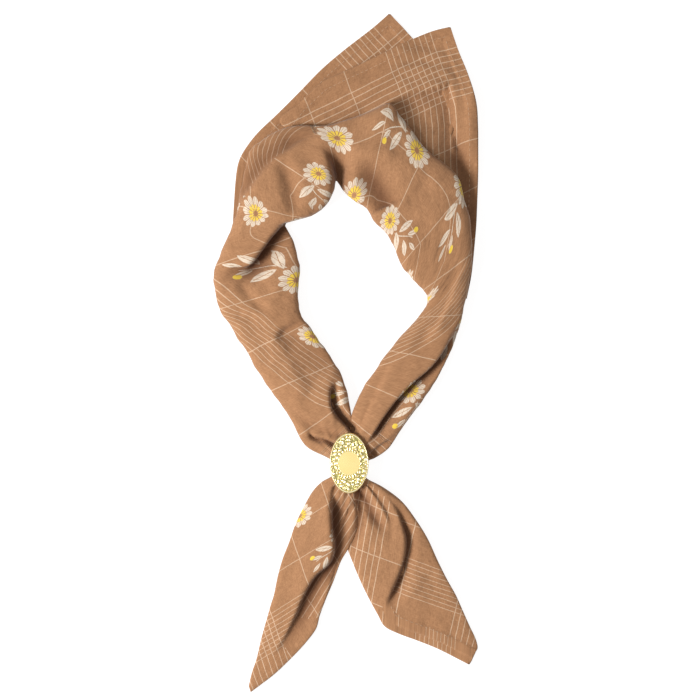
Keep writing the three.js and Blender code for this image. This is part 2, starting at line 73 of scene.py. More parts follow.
# The slide's place comes from the frame, and the cloth is laid out round it
slide_low, slide_high = (np.array(corner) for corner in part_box("slide"))
PLATE_WIDTH, PLATE_LENGTH = (slide_high - slide_low)[:2]
PLATE_X, PLATE_Y = ((slide_low + slide_high) / 2)[:2]
LOOP_Y = PLATE_Y - LOOP_BELOW_MIDDLE
LOOP_TOP_Y = LOOP_Y + LOOP_DEPTH / 2
LOOP_BOTTOM_Y = LOOP_Y - LOOP_DEPTH / 2
PLATE_UNDERSIDE = LOOP_OPENING_HEIGHT + 2 * LOOP_WALL - SOLDER_DEPTH
CLOTH_CEILING = PLATE_UNDERSIDE - PLATE_DOME - CLEARANCE
STRAND_WIDTH = (LOOP_OPENING_WIDTH - STRAND_GAP) / 2 - CLEARANCE
STRAND_HEIGHT = LOOP_OPENING_HEIGHT - 2 * CLEARANCE
STRAND_LIFT = LOOP_WALL + CLEARANCE


def neck_point(side, rise):
    return PLATE_X + side * SPREAD, LOOP_TOP_Y + rise * NECK_RISE


def tail_point(side, drop):
    return PLATE_X + side * SPREAD, LOOP_BOTTOM_Y - drop * TAIL_DROP


# Sections of the roll: side and rise (or drop) of the outer edge, the same of the inner edge,
# height, lift. Sides are shares of SPREAD, rises of NECK_RISE, drops of TAIL_DROP, heights of
# ROLL_HEIGHT, and the lift is a share of what lies underneath.
LEFT_TAIL = [
    (-0.380, 0.966, -0.371, 1.000, 0.19, 0),
    (-0.369, 0.907, -0.335, 0.968, 0.20, 0),
    (-0.352, 0.846, -0.278, 0.915, 0.22, 0),
    (-0.332, 0.745, -0.212, 0.839, 0.27, 0),
    (-0.313, 0.664, -0.159, 0.770, 0.33, 0),
    (-0.298, 0.600, -0.122, 0.709, 0.37, 0),
    (-0.285, 0.550, -0.109, 0.652, 0.40, 0),
    (-0.271, 0.468, -0.087, 0.580, 0.44, 0),
    (-0.252, 0.388, -0.057, 0.498, 0.48, 0),
    (-0.228, 0.314, -0.027, 0.405, 0.53, 0.1),
    (-0.204, 0.231, 0.003, 0.343, 0.58, 0.2),
    (-0.175, 0.159, 0.030, 0.268, 0.61, 0.4),
    (-0.141, 0.086, 0.037, 0.195, 0.62, 0.6),
    (-0.106, 0.041, 0.026, 0.118, 0.61, 0.8),
    (-0.076, 0.020, 0.006, 0.055, 0.61, 1),
]
NECK = [
    (-0.084, 0.013, 0.016, 0.073, 0.61, 0.9),
    (-0.150, 0.032, 0.013, 0.106, 0.64, 0.6),
    (-0.184, 0.054, 0.004, 0.136, 0.72, 0.3),
    (-0.218, 0.095, -0.006, 0.167, 0.82, 0),
    (-0.269, 0.139, -0.027, 0.200, 0.85, 0),
    (-0.332, 0.192, -0.087, 0.255, 0.87, 0),
    (-0.376, 0.235, -0.144, 0.305, 0.87, 0),
    (-0.420, 0.277, -0.176, 0.327, 0.86, 0),
    (-0.455, 0.310, -0.187, 0.358, 0.85, 0),
    (-0.487, 0.337, -0.187, 0.389, 0.84, 0),
    (-0.506, 0.380, -0.183, 0.435, 0.82, 0),
    (-0.510, 0.423, -0.200, 0.485, 0.80, 0),
    (-0.493, 0.456, -0.231, 0.519, 0.84, 0),
    (-0.464, 0.497, -0.233, 0.534, 0.88, 0.3),
    (-0.426, 0.549, -0.182, 0.541, 0.90, 0.9),
    (-0.411, 0.594, -0.137, 0.548, 0.92, 1),
    (-0.398, 0.638, -0.101, 0.560, 0.94, 1),
    (-0.373, 0.690, -0.072, 0.579, 0.95, 1),
    (-0.326, 0.717, -0.055, 0.599, 0.94, 1),
    (-0.262, 0.738, -0.050, 0.617, 0.92, 1),
    (-0.186, 0.749, -0.048, 0.624, 0.90, 1),
    (-0.115, 0.749, -0.045, 0.624, 0.90, 1),
    (-0.057, 0.752, -0.035, 0.615, 0.91, 1),
    (0.015, 0.765, -0.012, 0.595, 0.93, 1),
    (0.087, 0.781, 0.030, 0.574, 0.95, 1),
    (0.155, 0.798, 0.066, 0.560, 0.95, 1),
    (0.197, 0.766, 0.090, 0.538, 0.95, 1),
    (0.253, 0.724, 0.117, 0.520, 0.95, 1),
    (0.299, 0.690, 0.144, 0.502, 0.94, 1),
    (0.356, 0.664, 0.162, 0.480, 0.94, 1),
    (0.406, 0.638, 0.178, 0.459, 0.93, 1),
    (0.431, 0.592, 0.198, 0.436, 0.91, 1),
    (0.452, 0.547, 0.221, 0.417, 0.90, 1),
    (0.463, 0.500, 0.250, 0.396, 0.89, 1),
    (0.463, 0.440, 0.288, 0.372, 0.87, 0.7),
    (0.448, 0.380, 0.290, 0.350, 0.84, 0.2),
    (0.426, 0.327, 0.250, 0.321, 0.83, 0),
    (0.408, 0.285, 0.205, 0.290, 0.85, 0),
    (0.378, 0.240, 0.157, 0.260, 0.86, 0),
    (0.325, 0.182, 0.106, 0.218, 0.87, 0),
    (0.280, 0.142, 0.068, 0.187, 0.85, 0),
    (0.236, 0.107, 0.041, 0.158, 0.80, 0.1),
    (0.193, 0.071, 0.016, 0.127, 0.72, 0.3),
    (0.151, 0.034, 0.004, 0.103, 0.64, 0.6),
    (0.100, 0.012, 0.004, 0.070, 0.61, 0.9),
]
RIGHT_TAIL = [
    (0.072, 0.027, -0.004, 0.060, 0.61, 0.9),
    (0.130, 0.064, 0.000, 0.118, 0.60, 0.6),
    (0.200, 0.128, 0.000, 0.186, 0.58, 0.3),
    (0.255, 0.214, -0.006, 0.259, 0.55, 0.1),
    (0.299, 0.300, -0.012, 0.332, 0.53, 0),
    (0.337, 0.400, 0.012, 0.414, 0.50, 0),
    (0.371, 0.482, 0.045, 0.505, 0.46, 0),
    (0.405, 0.555, 0.079, 0.586, 0.41, 0),
    (0.431, 0.625, 0.106, 0.645, 0.35, 0),
    (0.458, 0.698, 0.132, 0.698, 0.29, 0),
    (0.479, 0.751, 0.185, 0.732, 0.24, 0),
    (0.488, 0.793, 0.261, 0.766, 0.21, 0),
    (0.480, 0.816, 0.344, 0.807, 0.20, 0),
    (0.467, 0.849, 0.453, 0.876, 0.19, 0),
]

# Folds run along lines of (side, rise) or (side, drop). The cloth stands up by `crest` on the side
# of the line that `high` names (1 is left, -1 right), where it leans out over the line by `lean`,
# and it falls by `valley` on the other side. `near` and `far` are the widths of the rise and of the
# fall. With `high` 0 both sides fall into a groove, which is a ridge where `valley` is below zero.
# These are in millimetres. `soft` widens the step over the line, and `begins` and `ends` are the
# shares of the line over which the fold comes up and dies out.
Fold = namedtuple("Fold", "high crest valley near far lean soft begins ends line")
NECK_FOLDS = {
    "left_turn": Fold(-1, 1.6, 10.5, 11, 12, 2.8, 1, 0.02, 0.40, [
        (-0.150, 0.525), (-0.228, 0.536), (-0.258, 0.527), (-0.300, 0.500), (-0.330, 0.476),
        (-0.360, 0.452), (-0.387, 0.438), (-0.443, 0.434), (-0.515, 0.423)]),
    "left_turn_crease": Fold(1, 0.6, 1.6, 5, 5, 0.5, 1, 0.2, 0.5, [
        (-0.205, 0.492), (-0.250, 0.470), (-0.285, 0.443), (-0.330, 0.428), (-0.390, 0.415)]),
    "top_pinch": Fold(1, 1.2, 11.5, 11, 10, 0.8, 2.4, 0.02, 0.55, [
        (-0.044, 0.575), (-0.050, 0.605), (-0.056, 0.634), (-0.066, 0.658), (-0.084, 0.682),
        (-0.120, 0.700)]),
    "top_pinch_crease": Fold(-1, 0.8, 2.4, 6, 7, 0.4, 1, 0.05, 0.6, [
        (-0.030, 0.575), (-0.022, 0.615), (-0.012, 0.650), (0.010, 0.690), (0.050, 0.730)]),
    "lobe_dent": Fold(0, 0, 2.8, 5, 5, 0, 1, 0.3, 0.2, [
        (-0.262, 0.680), (-0.235, 0.641), (-0.212, 0.596), (-0.205, 0.552)]),
    "lobe_hollow": Fold(0, 0, 1.4, 7, 7, 0, 1, 0.3, 0.3, [
        (-0.250, 0.700), (-0.190, 0.690), (-0.120, 0.660)]),
    "nape_ridge": Fold(0, 0, -1.8, 7, 6, 0, 1, 0.2, 0.3, [
        (-0.020, 0.700), (0.060, 0.692), (0.136, 0.684), (0.212, 0.676)]),
    "right_lobe": Fold(-1, 1.2, 9, 12, 6, 2, 1, 0.22, 0.16, [
        (0.420, 0.318), (0.372, 0.270), (0.330, 0.232), (0.290, 0.207), (0.235, 0.180),
        (0.175, 0.142), (0.130, 0.107), (0.096, 0.075), (0.070, 0.045)]),
    "slide_side": Fold(0, 0, 4.5, 3.5, 3.5, 0, 1, 0.05, 0.5, [
        (0.050, 0.030), (0.090, 0.016), (0.140, 0.012)]),
    "left_lobe": Fold(-1, 1, 10, 8, 5, 1.6, 1, 0.45, 0.06, [
        (-0.036, 0.190), (-0.058, 0.176), (-0.071, 0.160), (-0.072, 0.136), (-0.064, 0.119),
        (-0.044, 0.102), (-0.016, 0.084), (0.012, 0.064)]),
    "left_gather": Fold(1, 1, 2.6, 6, 5, 0.6, 2, 0.4, 0.05, [
        (-0.235, 0.136), (-0.175, 0.106), (-0.118, 0.088), (-0.061, 0.077), (-0.004, 0.062)]),
    "left_slit": Fold(1, 0.8, 6, 5, 2.4, 1.6, 1, 0.15, 0.02, [
        (-0.148, 0.070), (-0.128, 0.060), (-0.100, 0.057), (-0.078, 0.054), (-0.045, 0.044)]),
    "left_dent": Fold(1, 0.7, 2.6, 8, 9, 0, 1.2, 0.35, 0.35, [
        (-0.285, 0.270), (-0.255, 0.294), (-0.216, 0.308), (-0.160, 0.328)]),
    "left_slope": Fold(-1, 0.8, 2.4, 12, 13, 0, 6, 0.25, 0.25, [
        (-0.277, 0.314), (-0.240, 0.262), (-0.190, 0.205), (-0.130, 0.150)]),
    "inner_slope": Fold(0, 0, 2.8, 9, 9, 0, 1, 0.25, 0.25, [
        (-0.225, 0.290), (-0.160, 0.262), (-0.105, 0.235), (-0.060, 0.195)]),
    "turn_wrinkle": Fold(0, 0, 1.6, 3, 3.2, 0, 1, 0.2, 0.4, [
        (-0.421, 0.407), (-0.375, 0.372), (-0.325, 0.345), (-0.280, 0.330)]),
    "lower_wrinkle": Fold(0, 0, 1.3, 3, 3, 0, 1, 0.3, 0.4, [
        (-0.430, 0.330), (-0.385, 0.322), (-0.345, 0.326)]),
    "left_swell": Fold(0, 0, 1.3, 9, 9, 0, 1, 0.3, 0.3, [
        (-0.420, 0.400), (-0.380, 0.330), (-0.330, 0.270), (-0.240, 0.190)]),
    "shoulder": Fold(-1, 0.5, 4.4, 8, 17, 0, 2.5, 0.35, 0.25, [
        (-0.490, 0.480), (-0.413, 0.572), (-0.368, 0.614), (-0.307, 0.658), (-0.246, 0.687),
        (-0.171, 0.714), (-0.060, 0.745)]),
    "nape_dent": Fold(0, 0, 6, 10, 10, 0, 1, 0.45, 0.05, [
        (0.049, 0.676), (0.072, 0.640), (0.109, 0.602), (0.140, 0.565)]),
    "side_dent": Fold(0, 0, 1.8, 9, 9, 0, 1, 0.4, 0.2, [
        (0.330, 0.620), (0.250, 0.590), (0.210, 0.520)]),
    "right_hollow": Fold(0, 0, 1.8, 12, 12, 0, 1, 0.3, 0.3, [
        (0.380, 0.530), (0.344, 0.447), (0.314, 0.396), (0.270, 0.330)]),
    "right_crease": Fold(1, 0.5, 1.4, 8, 8, 0.3, 1, 0.4, 0.4, [
        (0.440, 0.470), (0.400, 0.400), (0.360, 0.340), (0.300, 0.280), (0.230, 0.240)]),
    "nape_hollow": Fold(0, 0, 1.6, 10, 10, 0, 1, 0.3, 0.1, [
        (0.060, 0.790), (-0.004, 0.714), (-0.027, 0.640)]),
    "right_gather": Fold(1, 0.4, 3, 5, 5, 0.8, 1, 0.05, 0.3, [
        (0.050, 0.005), (0.090, 0.033), (0.125, 0.047), (0.190, 0.070)]),
    "right_pleat": Fold(-1, 0.4, 1.6, 5, 5, 0.5, 1, 0.05, 0.5, [
        (0.028, 0.060), (0.060, 0.100), (0.100, 0.150), (0.150, 0.210), (0.210, 0.260)]),
}
TAIL_FOLDS = {
    "left_tail_valley": Fold(-1, 1, 7.5, 9, 12, 1.2, 1.4, 0.12, 0.35, [
        (-0.062, 0.095), (-0.066, 0.175), (-0.066, 0.250), (-0.056, 0.330), (-0.072, 0.405),
        (-0.128, 0.468), (-0.168, 0.550), (-0.205, 0.655), (-0.250, 0.765), (-0.310, 0.870)]),
    "left_tail_pleat": Fold(-1, 0.6, 3.6, 5, 5, 0.8, 1, 0.15, 0.45, [
        (0.000, 0.140), (-0.012, 0.185), (-0.026, 0.235), (-0.034, 0.290), (-0.050, 0.350)]),
    "tail_gap": Fold(0, 0, 5, 3.5, 3.5, 0, 1, 0.15, 0.3, [
        (0.030, 0.110), (0.043, 0.170), (0.040, 0.235), (0.020, 0.300), (0.004, 0.360)]),
    "middle_pleat": Fold(1, 0.6, 2, 4, 4, 0.6, 1, 0.05, 0.3, [
        (0.014, 0.070), (-0.006, 0.141), (-0.019, 0.186), (-0.025, 0.260)]),
    "left_tail_shoulder": Fold(-1, 0.5, 2, 6, 7, 0.4, 1, 0.05, 0.4, [
        (-0.060, 0.050), (-0.074, 0.145), (-0.072, 0.209), (-0.062, 0.290)]),
    "left_tail_swell": Fold(0, 0, 1.2, 8, 8, 0, 1, 0.3, 0.3, [
        (-0.120, 0.080), (-0.160, 0.220), (-0.210, 0.380), (-0.270, 0.540)]),
    "right_tail_pocket": Fold(0, 0, 7.5, 5, 4, 0, 1, 0.02, 0.7, [
        (0.030, 0.060), (0.052, 0.110), (0.078, 0.165), (0.108, 0.215), (0.136, 0.264),
        (0.160, 0.330)]),
    "right_tail_pleat": Fold(-1, 0.4, 2.2, 5, 5, 0.5, 1, 0.05, 0.4, [
        (0.060, 0.050), (0.100, 0.110), (0.132, 0.170), (0.150, 0.240), (0.152, 0.330)]),
    "right_tail_lobe": Fold(-1, 1.2, 6, 10, 6, 1.6, 1.2, 0.35, 0.22, [
        (0.130, 0.100), (0.175, 0.160), (0.198, 0.232), (0.212, 0.300), (0.210, 0.360),
        (0.196, 0.430), (0.174, 0.500), (0.152, 0.560), (0.134, 0.612)]),
    "right_tail_swell": Fold(0, 0, 1, 9, 9, 0, 1, 0.3, 0.3, [
        (0.240, 0.260), (0.290, 0.400), (0.320, 0.520), (0.350, 0.640)]),
    "left_tail_edge": Fold(-1, 0.3, 1.6, 5, 5, 0.4, 1, 0.2, 0.2, [
        (-0.040, 0.400), (-0.072, 0.505), (-0.095, 0.620)]),
}

# Folds of the upper loose corner, beside the roll
CORNER_FOLDS = {
    "pocket_top": Fold(1, 1.3, 2.8, 6, 16, 0, 0.7, 0.30, 0.05, [
        (0.150, 0.806), (0.230, 0.818), (0.310, 0.828), (0.378, 0.832)]),
    "pocket_side": Fold(1, 1.2, 2.6, 8, 14, 0, 1, 0.05, 0.35, [
        (0.380, 0.838), (0.392, 0.800), (0.398, 0.750), (0.418, 0.700), (0.448, 0.645)]),
    "beside_roll": Fold(0, 0, 4.6, 8, 8, 0, 1, 0.3, 0.3, [
        (0.360, 0.775), (0.405, 0.700), (0.440, 0.620), (0.458, 0.550), (0.468, 0.480)]),
    "roll_top": Fold(0, 0, 2.4, 8, 8, 0, 1, 0.3, 0.3, [
        (-0.120, 0.755), (-0.040, 0.772), (0.060, 0.792), (0.140, 0.808), (0.210, 0.806)]),
    "upper_ridge": Fold(0, 0, -1.1, 4, 4, 0, 1, 0.3, 0.2, [
        (0.060, 0.885), (0.160, 0.905), (0.290, 0.912), (0.390, 0.892)]),
    "lower_ridge": Fold(0, 0, -0.9, 3, 3, 0, 1, 0.3, 0.2, [
        (0.140, 0.865), (0.250, 0.876), (0.350, 0.872), (0.410, 0.845)]),
    "long_groove": Fold(0, 0, 0.6, 4, 4, 0, 1, 0.3, 0.3, [
        (-0.200, 0.770), (-0.080, 0.800), (0.060, 0.830)]),
}

# The two loose corners, from the tip inwards: side and rise of the left edge, the same of the
# right edge, root. `root` 1 is where an edge runs up into the roll.
UNDER_CORNER = [
    (0.149, 0.998, 0.156, 0.998, 0),
    (0.087, 0.966, 0.197, 0.972, 0),
    (-0.021, 0.917, 0.243, 0.943, 0),
    (-0.103, 0.876, 0.310, 0.899, 0),
    (-0.188, 0.825, 0.374, 0.856, 0),
    (-0.275, 0.774, 0.400, 0.807, 0),
    (-0.349, 0.732, 0.400, 0.752, 0),
    (-0.398, 0.694, 0.320, 0.650, 1),
    (-0.420, 0.665, 0.115, 0.660, 1),
    (-0.430, 0.625, -0.110, 0.663, 1),
    (-0.436, 0.574, -0.250, 0.620, 1),
    (-0.440, 0.535, -0.330, 0.560, 1),
]
UPPER_CORNER = [
    (0.378, 0.969, 0.384, 0.968, 0),
    (0.305, 0.958, 0.412, 0.919, 0),
    (0.203, 0.932, 0.449, 0.864, 0),
    (0.072, 0.894, 0.479, 0.800, 0),
    (-0.034, 0.865, 0.486, 0.750, 0),
    (-0.108, 0.843, 0.487, 0.696, 0),
    (-0.191, 0.796, 0.487, 0.632, 0),
    (-0.254, 0.750, 0.484, 0.577, 0),
    (0.000, 0.680, 0.481, 0.530, 1),
    (0.160, 0.610, 0.474, 0.483, 1),
    (0.310, 0.520, 0.463, 0.419, 1),
    (0.390, 0.430, 0.445, 0.365, 1),
]

# Steps of the meshes, in metres or as counts
SECTION_STEP = 0.00190
TOP_STEPS = 54
UNDER_STEPS = 9
INNER_SECTION_STEP = 0.0080
INNER_STEPS = 30
INNER_GUARD = 0.011
CORNER_ROW_STEP = 0.0022
CORNER_STEPS = 66


def mix(a, b, share):
    return a + (b - a) * share


def smooth(low, high, value):
    share = np.clip((np.asarray(value, float) - low) / (high - low), 0, 1)
    return share * share * (3 - 2 * share)


def bump_at(value, middle, width):
    return np.exp(-((value - middle) / width) ** 2)


def through(points, stops):
    """Points of a smooth curve through `points` at the given row numbers."""
    points = np.asarray(points, float)
    last = len(points) - 1
    index = np.clip(np.floor(stops).astype(int), 0, last - 1)
    share = (stops - index)[:, None] if points.ndim > 1 else stops - index
    a = points[np.clip(index - 1, 0, last)]
    b = points[index]
    c = points[index + 1]
    d = points[np.clip(index + 2, 0, last)]
    slope_b = (c - a) / 2
    slope_c = (d - b) / 2
    s2, s3 = share ** 2, share ** 3
    return ((2 * s3 - 3 * s2 + 1) * b + (s3 - 2 * s2 + share) * slope_b
            + (3 * s2 - 2 * s3) * c + (s3 - s2) * slope_c)


def row_stops(middles, step):
    """Row numbers that lie about `step` apart along the line of `middles`."""
    stops = []
    for index in range(len(middles) - 1):
        count = max(1, math.ceil(np.linalg.norm(middles[index + 1] - middles[index]) / step))
        stops.extend(index + np.arange(count) / count)
    return np.array(stops + [len(middles) - 1.0])


# Lines of folds, and how the cloth rises, falls and leans beside them
LINE_DIVISIONS = 6


def fold_line(fold, to_point):
    corners = np.array([to_point(side, reach) for side, reach in fold.line])
    stops = np.linspace(0, len(corners) - 1, LINE_DIVISIONS * len(corners))
    return through(corners, stops)


def place_on_line(line, xy):
    """Signed distance (left is positive), share along the line, and the way across it."""
    best = np.full(len(xy), np.inf)
    side = np.ones(len(xy))
    along = np.zeros(len(xy))
    across = np.zeros((len(xy), 2))
    count = len(line) - 1
    for index in range(count):
        run = line[index + 1] - line[index]
        reach = xy - line[index]
        share = np.clip(reach @ run / (run @ run), 0, 1)
        distance = np.linalg.norm(reach - share[:, None] * run, axis=1)
        nearer = distance < best
        best[nearer] = distance[nearer]
        side[nearer] = np.where(run[0] * reach[:, 1] - run[1] * reach[:, 0] >= 0, 1, -1)[nearer]
        along[nearer] = ((index + share) / count)[nearer]
        across[nearer] = np.array([-run[1], run[0]]) / np.linalg.norm(run)
    return side * best, along, across


def signed_distance(line, xy):
    return place_on_line(line, xy)[0]


def edge_distance(line, xy):
    return np.abs(signed_distance(line, xy))


# A fold acts within so many of its widths, and folds that are deep enough get painted shade: a darker
# cloth colour along them
FOLD_REACH = 3
STEP_SOFTNESS = 0.0008
LEAN_REACH = 0.45
PAINTED_SHADE_FROM = 0.0018
PAINTED_SHADE_FALL = 0.0045
PAINTED_SHADE_REACH = 0.68
GROOVE_PAINTED_SHADE = 0.7


def fold_effect(fold, line, xy):
    """Height, lean and shade that one fold gives to the points near it."""
    reach = FOLD_REACH * max(fold.near, fold.far) * MM
    near = np.all((xy > line.min(axis=0) - reach) & (xy < line.max(axis=0) + reach), axis=1)
    height = np.zeros(len(xy))
    lean = np.zeros_like(xy)
    shade = np.zeros(len(xy))
    if near.any():
        height[near], lean[near], shade[near] = fold_close_up(fold, line, xy[near])
    return height, lean, shade


def fold_close_up(fold, line, xy):
    distance, along, across = place_on_line(line, xy)
    fade = smooth(0, fold.begins, along) * smooth(0, fold.ends, 1 - along)
    fall = -fold.valley * MM * bump_at(distance, 0, fold.far * MM)
    # Painted shade: folds deep enough get a darker colour on their low side, grooves on both sides
    painted_shade_share = np.clip((fold.valley * MM - PAINTED_SHADE_FROM) / PAINTED_SHADE_FALL, 0, 1)
    dark = fade * painted_shade_share * bump_at(distance, 0, PAINTED_SHADE_REACH * fold.far * MM)
    if fold.high == 0:
        return fade * fall, np.zeros_like(xy), GROOVE_PAINTED_SHADE * dark
    rise = fold.crest * MM * bump_at(distance, 0, fold.near * MM)
    upper = 0.5 + 0.5 * np.tanh(fold.high * distance / (fold.soft * STEP_SOFTNESS))
    lean = fold.lean * MM * upper * np.exp(-np.abs(distance) / (LEAN_REACH * fold.near * MM))
    leaning = -fold.high * (fade * lean)[:, None] * across
    return fade * mix(fall, rise, upper), leaning, dark * (1 - upper)


folds = {name: (fold, fold_line(fold, neck_point)) for name, fold in NECK_FOLDS.items()}
folds.update({name: (fold, fold_line(fold, tail_point)) for name, fold in TAIL_FOLDS.items()})
corner_folds = [(fold, fold_line(fold, neck_point)) for fold in CORNER_FOLDS.values()]


RIPPLE_WAVES = 7
RIPPLE_RANGE = (0.7, 1.6)
RIPPLE_BEND = 0.6
RIPPLE_BEND_SIZE = 2.3


def ripples(xy, size, seed):
    """Smooth even unrest, mostly between -1 and 1, from a few crossing waves."""
    random = np.random.default_rng(seed)
    total = np.zeros(len(xy))
    for _ in range(RIPPLE_WAVES):
        heading = random.uniform(0, math.pi)
        wave = random.uniform(*RIPPLE_RANGE) * 2 * math.pi / size
        bend_way = random.uniform(-1, 1, 2) * 2 * math.pi / (RIPPLE_BEND_SIZE * size)
        bend = RIPPLE_BEND * np.sin(xy @ bend_way)
        total += np.sin(xy @ (wave * np.array([math.cos(heading), math.sin(heading)]))
                        + random.uniform(0, 6.3) + bend)
    return total / (RIPPLE_WAVES / 2)


# Pleats round the slide: their waves round it and away from it, height, and where they die out
RAYS = 34
FINE_RAYS = 57
FINE_RAY_TURN = 1.3
RAY_SWAY = 90
GATHER_HEIGHT = 0.00026
GATHER_NEAR = 0.014
GATHER_FAR = 0.060


def gathers(xy):
    """Small pleats that run out from the slide like rays."""
    across, along = xy[:, 0] - PLATE_X, xy[:, 1] - LOOP_Y
    away = np.hypot(across, along)
    angle = np.arctan2(across, np.abs(along))
    wave = np.sin(RAYS * angle + 2 * np.sin(RAY_SWAY * away))
    wave = wave + 0.5 * np.sin(FINE_RAYS * angle + FINE_RAY_TURN)
    return GATHER_HEIGHT * wave * smooth(GATHER_FAR, GATHER_NEAR, away)


# Unrest of the roll's surface: height, size of the waves, seed
ROLL_UNREST = [
    (0.00055, 0.028, 3),
    (0.00026, 0.012, 5),
]


def roll_relief(xy):
    """Height, lean and shade that unrest, gathers and all folds give to the roll."""
    height = sum(high * ripples(xy, size, seed) for high, size, seed in ROLL_UNREST) + gathers(xy)
    lean = np.zeros_like(xy)
    shade = np.zeros(len(xy))
    for fold, line in folds.values():
        more_height, more_lean, more_shade = fold_effect(fold, line, xy)
        height += more_height
        lean += more_lean
        shade = np.maximum(shade, more_shade)
    return height, lean, shade


# How far out the plate holds the cloth fully, and how far at all, in its own half sizes
FULL_HOLD = 1.12
HOLD_END = 1.6


def under_plate(xy):
    """1 where the plate holds the cloth down, 0 away from it."""
    across = (xy[:, 0] - PLATE_X) / (PLATE_WIDTH / 2)
    along = (xy[:, 1] - PLATE_Y) / (PLATE_LENGTH / 2)
    return smooth(HOLD_END, FULL_HOLD, np.hypot(across, along))


# The roll
BESIDE_SLIDE = 0.3


def roll_rows():
    """Sections of the whole roll: outer place, inner place, height and lift, in metres."""
    rows = []

    def add(table, to_point, lift_of):
        for out_side, out_reach, in_side, in_reach, height, lift in table:
            rows.append((*to_point(out_side, out_reach), *to_point(in_side, in_reach),
                         height * ROLL_HEIGHT, lift * lift_of(in_reach)))

    def add_strand(sign, y):
        rows.append((PLATE_X + sign * (STRAND_GAP / 2 + STRAND_WIDTH), y,
                     PLATE_X + sign * STRAND_GAP / 2, y, STRAND_HEIGHT, STRAND_LIFT))

    margin = LOOP_DEPTH / 12
    add(LEFT_TAIL, tail_point, lambda drop: STRAND_LIFT)
    add_strand(-1, LOOP_BOTTOM_Y - margin)
    add_strand(-1, LOOP_TOP_Y + margin)
    add(NECK, neck_point, lambda rise: ROLL_LIFT if rise > BESIDE_SLIDE else STRAND_LIFT)
    add_strand(1, LOOP_TOP_Y + margin)
    add_strand(1, LOOP_BOTTOM_Y - margin)
    add(RIGHT_TAIL, tail_point, lambda drop: STRAND_LIFT)
    return np.array(rows)


ROUNDNESS = 0.74
FLAT_HEIGHT = 0.0055
WOUND_HEIGHT = 0.009
LEAST_WOUND = 0.25
MOST_TURNS = 5
TURN_BLEND = 0.25
SECTION_SAMPLES = 700
BEND_EFFORT = 0.006


def power(value, exponent):
    return np.sign(value) * np.abs(value) ** exponent


def wound_section(width, height, start, end, groups):
    """Places across, heights and walked distances of the wound cloth between two angles.

    Angle pi is the outer edge, and the top lies between pi and two pi. Each further turn lies
    inside the one before. The groups name angles and how many steps lead up to each of them.
    """
    angle = np.linspace(start, end, SECTION_SAMPLES)
    wound = float(smooth(FLAT_HEIGHT, WOUND_HEIGHT, height))
    inward = np.zeros_like(angle)
    for turn in range(1, MOST_TURNS + 1):
        inward += smooth((2 * turn - TURN_BLEND) * math.pi, (2 * turn + TURN_BLEND) * math.pi, angle)
    inward *= (PLY + PLY_GAP) * max(wound, LEAST_WOUND)
    half_width = np.maximum(PLY, width / 2 - PLY / 2 - inward)
    half_height = np.maximum(PLY / 3, height / 2 - PLY / 2 - inward)
    across = width / 2 + half_width * power(np.cos(angle), ROUNDNESS)
    up = height / 2 - half_height * power(np.sin(angle), ROUNDNESS)
    walked = np.concatenate([[0], np.cumsum(np.hypot(np.diff(across), np.diff(up)))])
    turning = np.unwrap(np.arctan2(np.gradient(up), np.gradient(across)))
    # Steps are laid by effort, so they lie closer together where the section bends
    effort = walked + BEND_EFFORT * np.concatenate([[0], np.cumsum(np.abs(np.diff(turning)))])
    walked = walked - np.interp(math.pi, angle, walked)
    picks, low = [], start
    for high, steps in groups:
        at_low, at_high = np.interp([low, high], angle, effort)
        picks.append(np.linspace(at_low, at_high, steps, endpoint=False))
        low = high
    picks = np.concatenate([*picks, [np.interp(low, angle, effort)]])
    return tuple(np.interp(picks, effort, values) for values in (across, up, walked))


def grid_normals(grid):
    along = np.gradient(grid, axis=0)
    across = np.gradient(grid, axis=1)
    normal = np.cross(across, along)
    return normal / np.maximum(np.linalg.norm(normal, axis=2, keepdims=True), 1e-12)


EDGE_UNREST = 0.0004
EDGE_WAVE = 0.022
EDGE_SMALL_WAVE = 0.009
CALM_TO = 0.020
FREE_FROM = 0.045


def uneven_edges(fine):
    """The roll's two outlines with the small bulges of hand-wound cloth, none near the slide."""
    free = smooth(CALM_TO, FREE_FROM, fine[:, 1] - LOOP_Y)
    way = fine[:, 0:2] - fine[:, 2:4]
    way = way / np.linalg.norm(way, axis=1)[:, None]
    changed = fine.copy()
    for columns, sign, seed in ((slice(0, 2), 1, 21), (slice(2, 4), -1, 23)):
        edge = fine[:, columns]
        bulge = ripples(edge, EDGE_WAVE, seed) + 0.5 * ripples(edge, EDGE_SMALL_WAVE, seed + 1)
        changed[:, columns] += sign * (EDGE_UNREST * free * bulge)[:, None] * way
    return changed


def lowest_relief(xy, relief, guard):
    """The relief at each point, or of a deeper fold within `guard` of it."""
    for angle in np.arange(8) * math.pi / 4:
        way = np.array([math.cos(angle), math.sin(angle)])
        for reach in (0.5 * guard, guard):
            relief = np.minimum(relief, roll_relief(xy + reach * way)[0])
    return relief


# How far folds may squeeze or raise the roll, as shares of its height
LEAST_SQUEEZE = 0.18
INNER_SQUEEZE = 0.13
MOST_SQUEEZE = 1.6


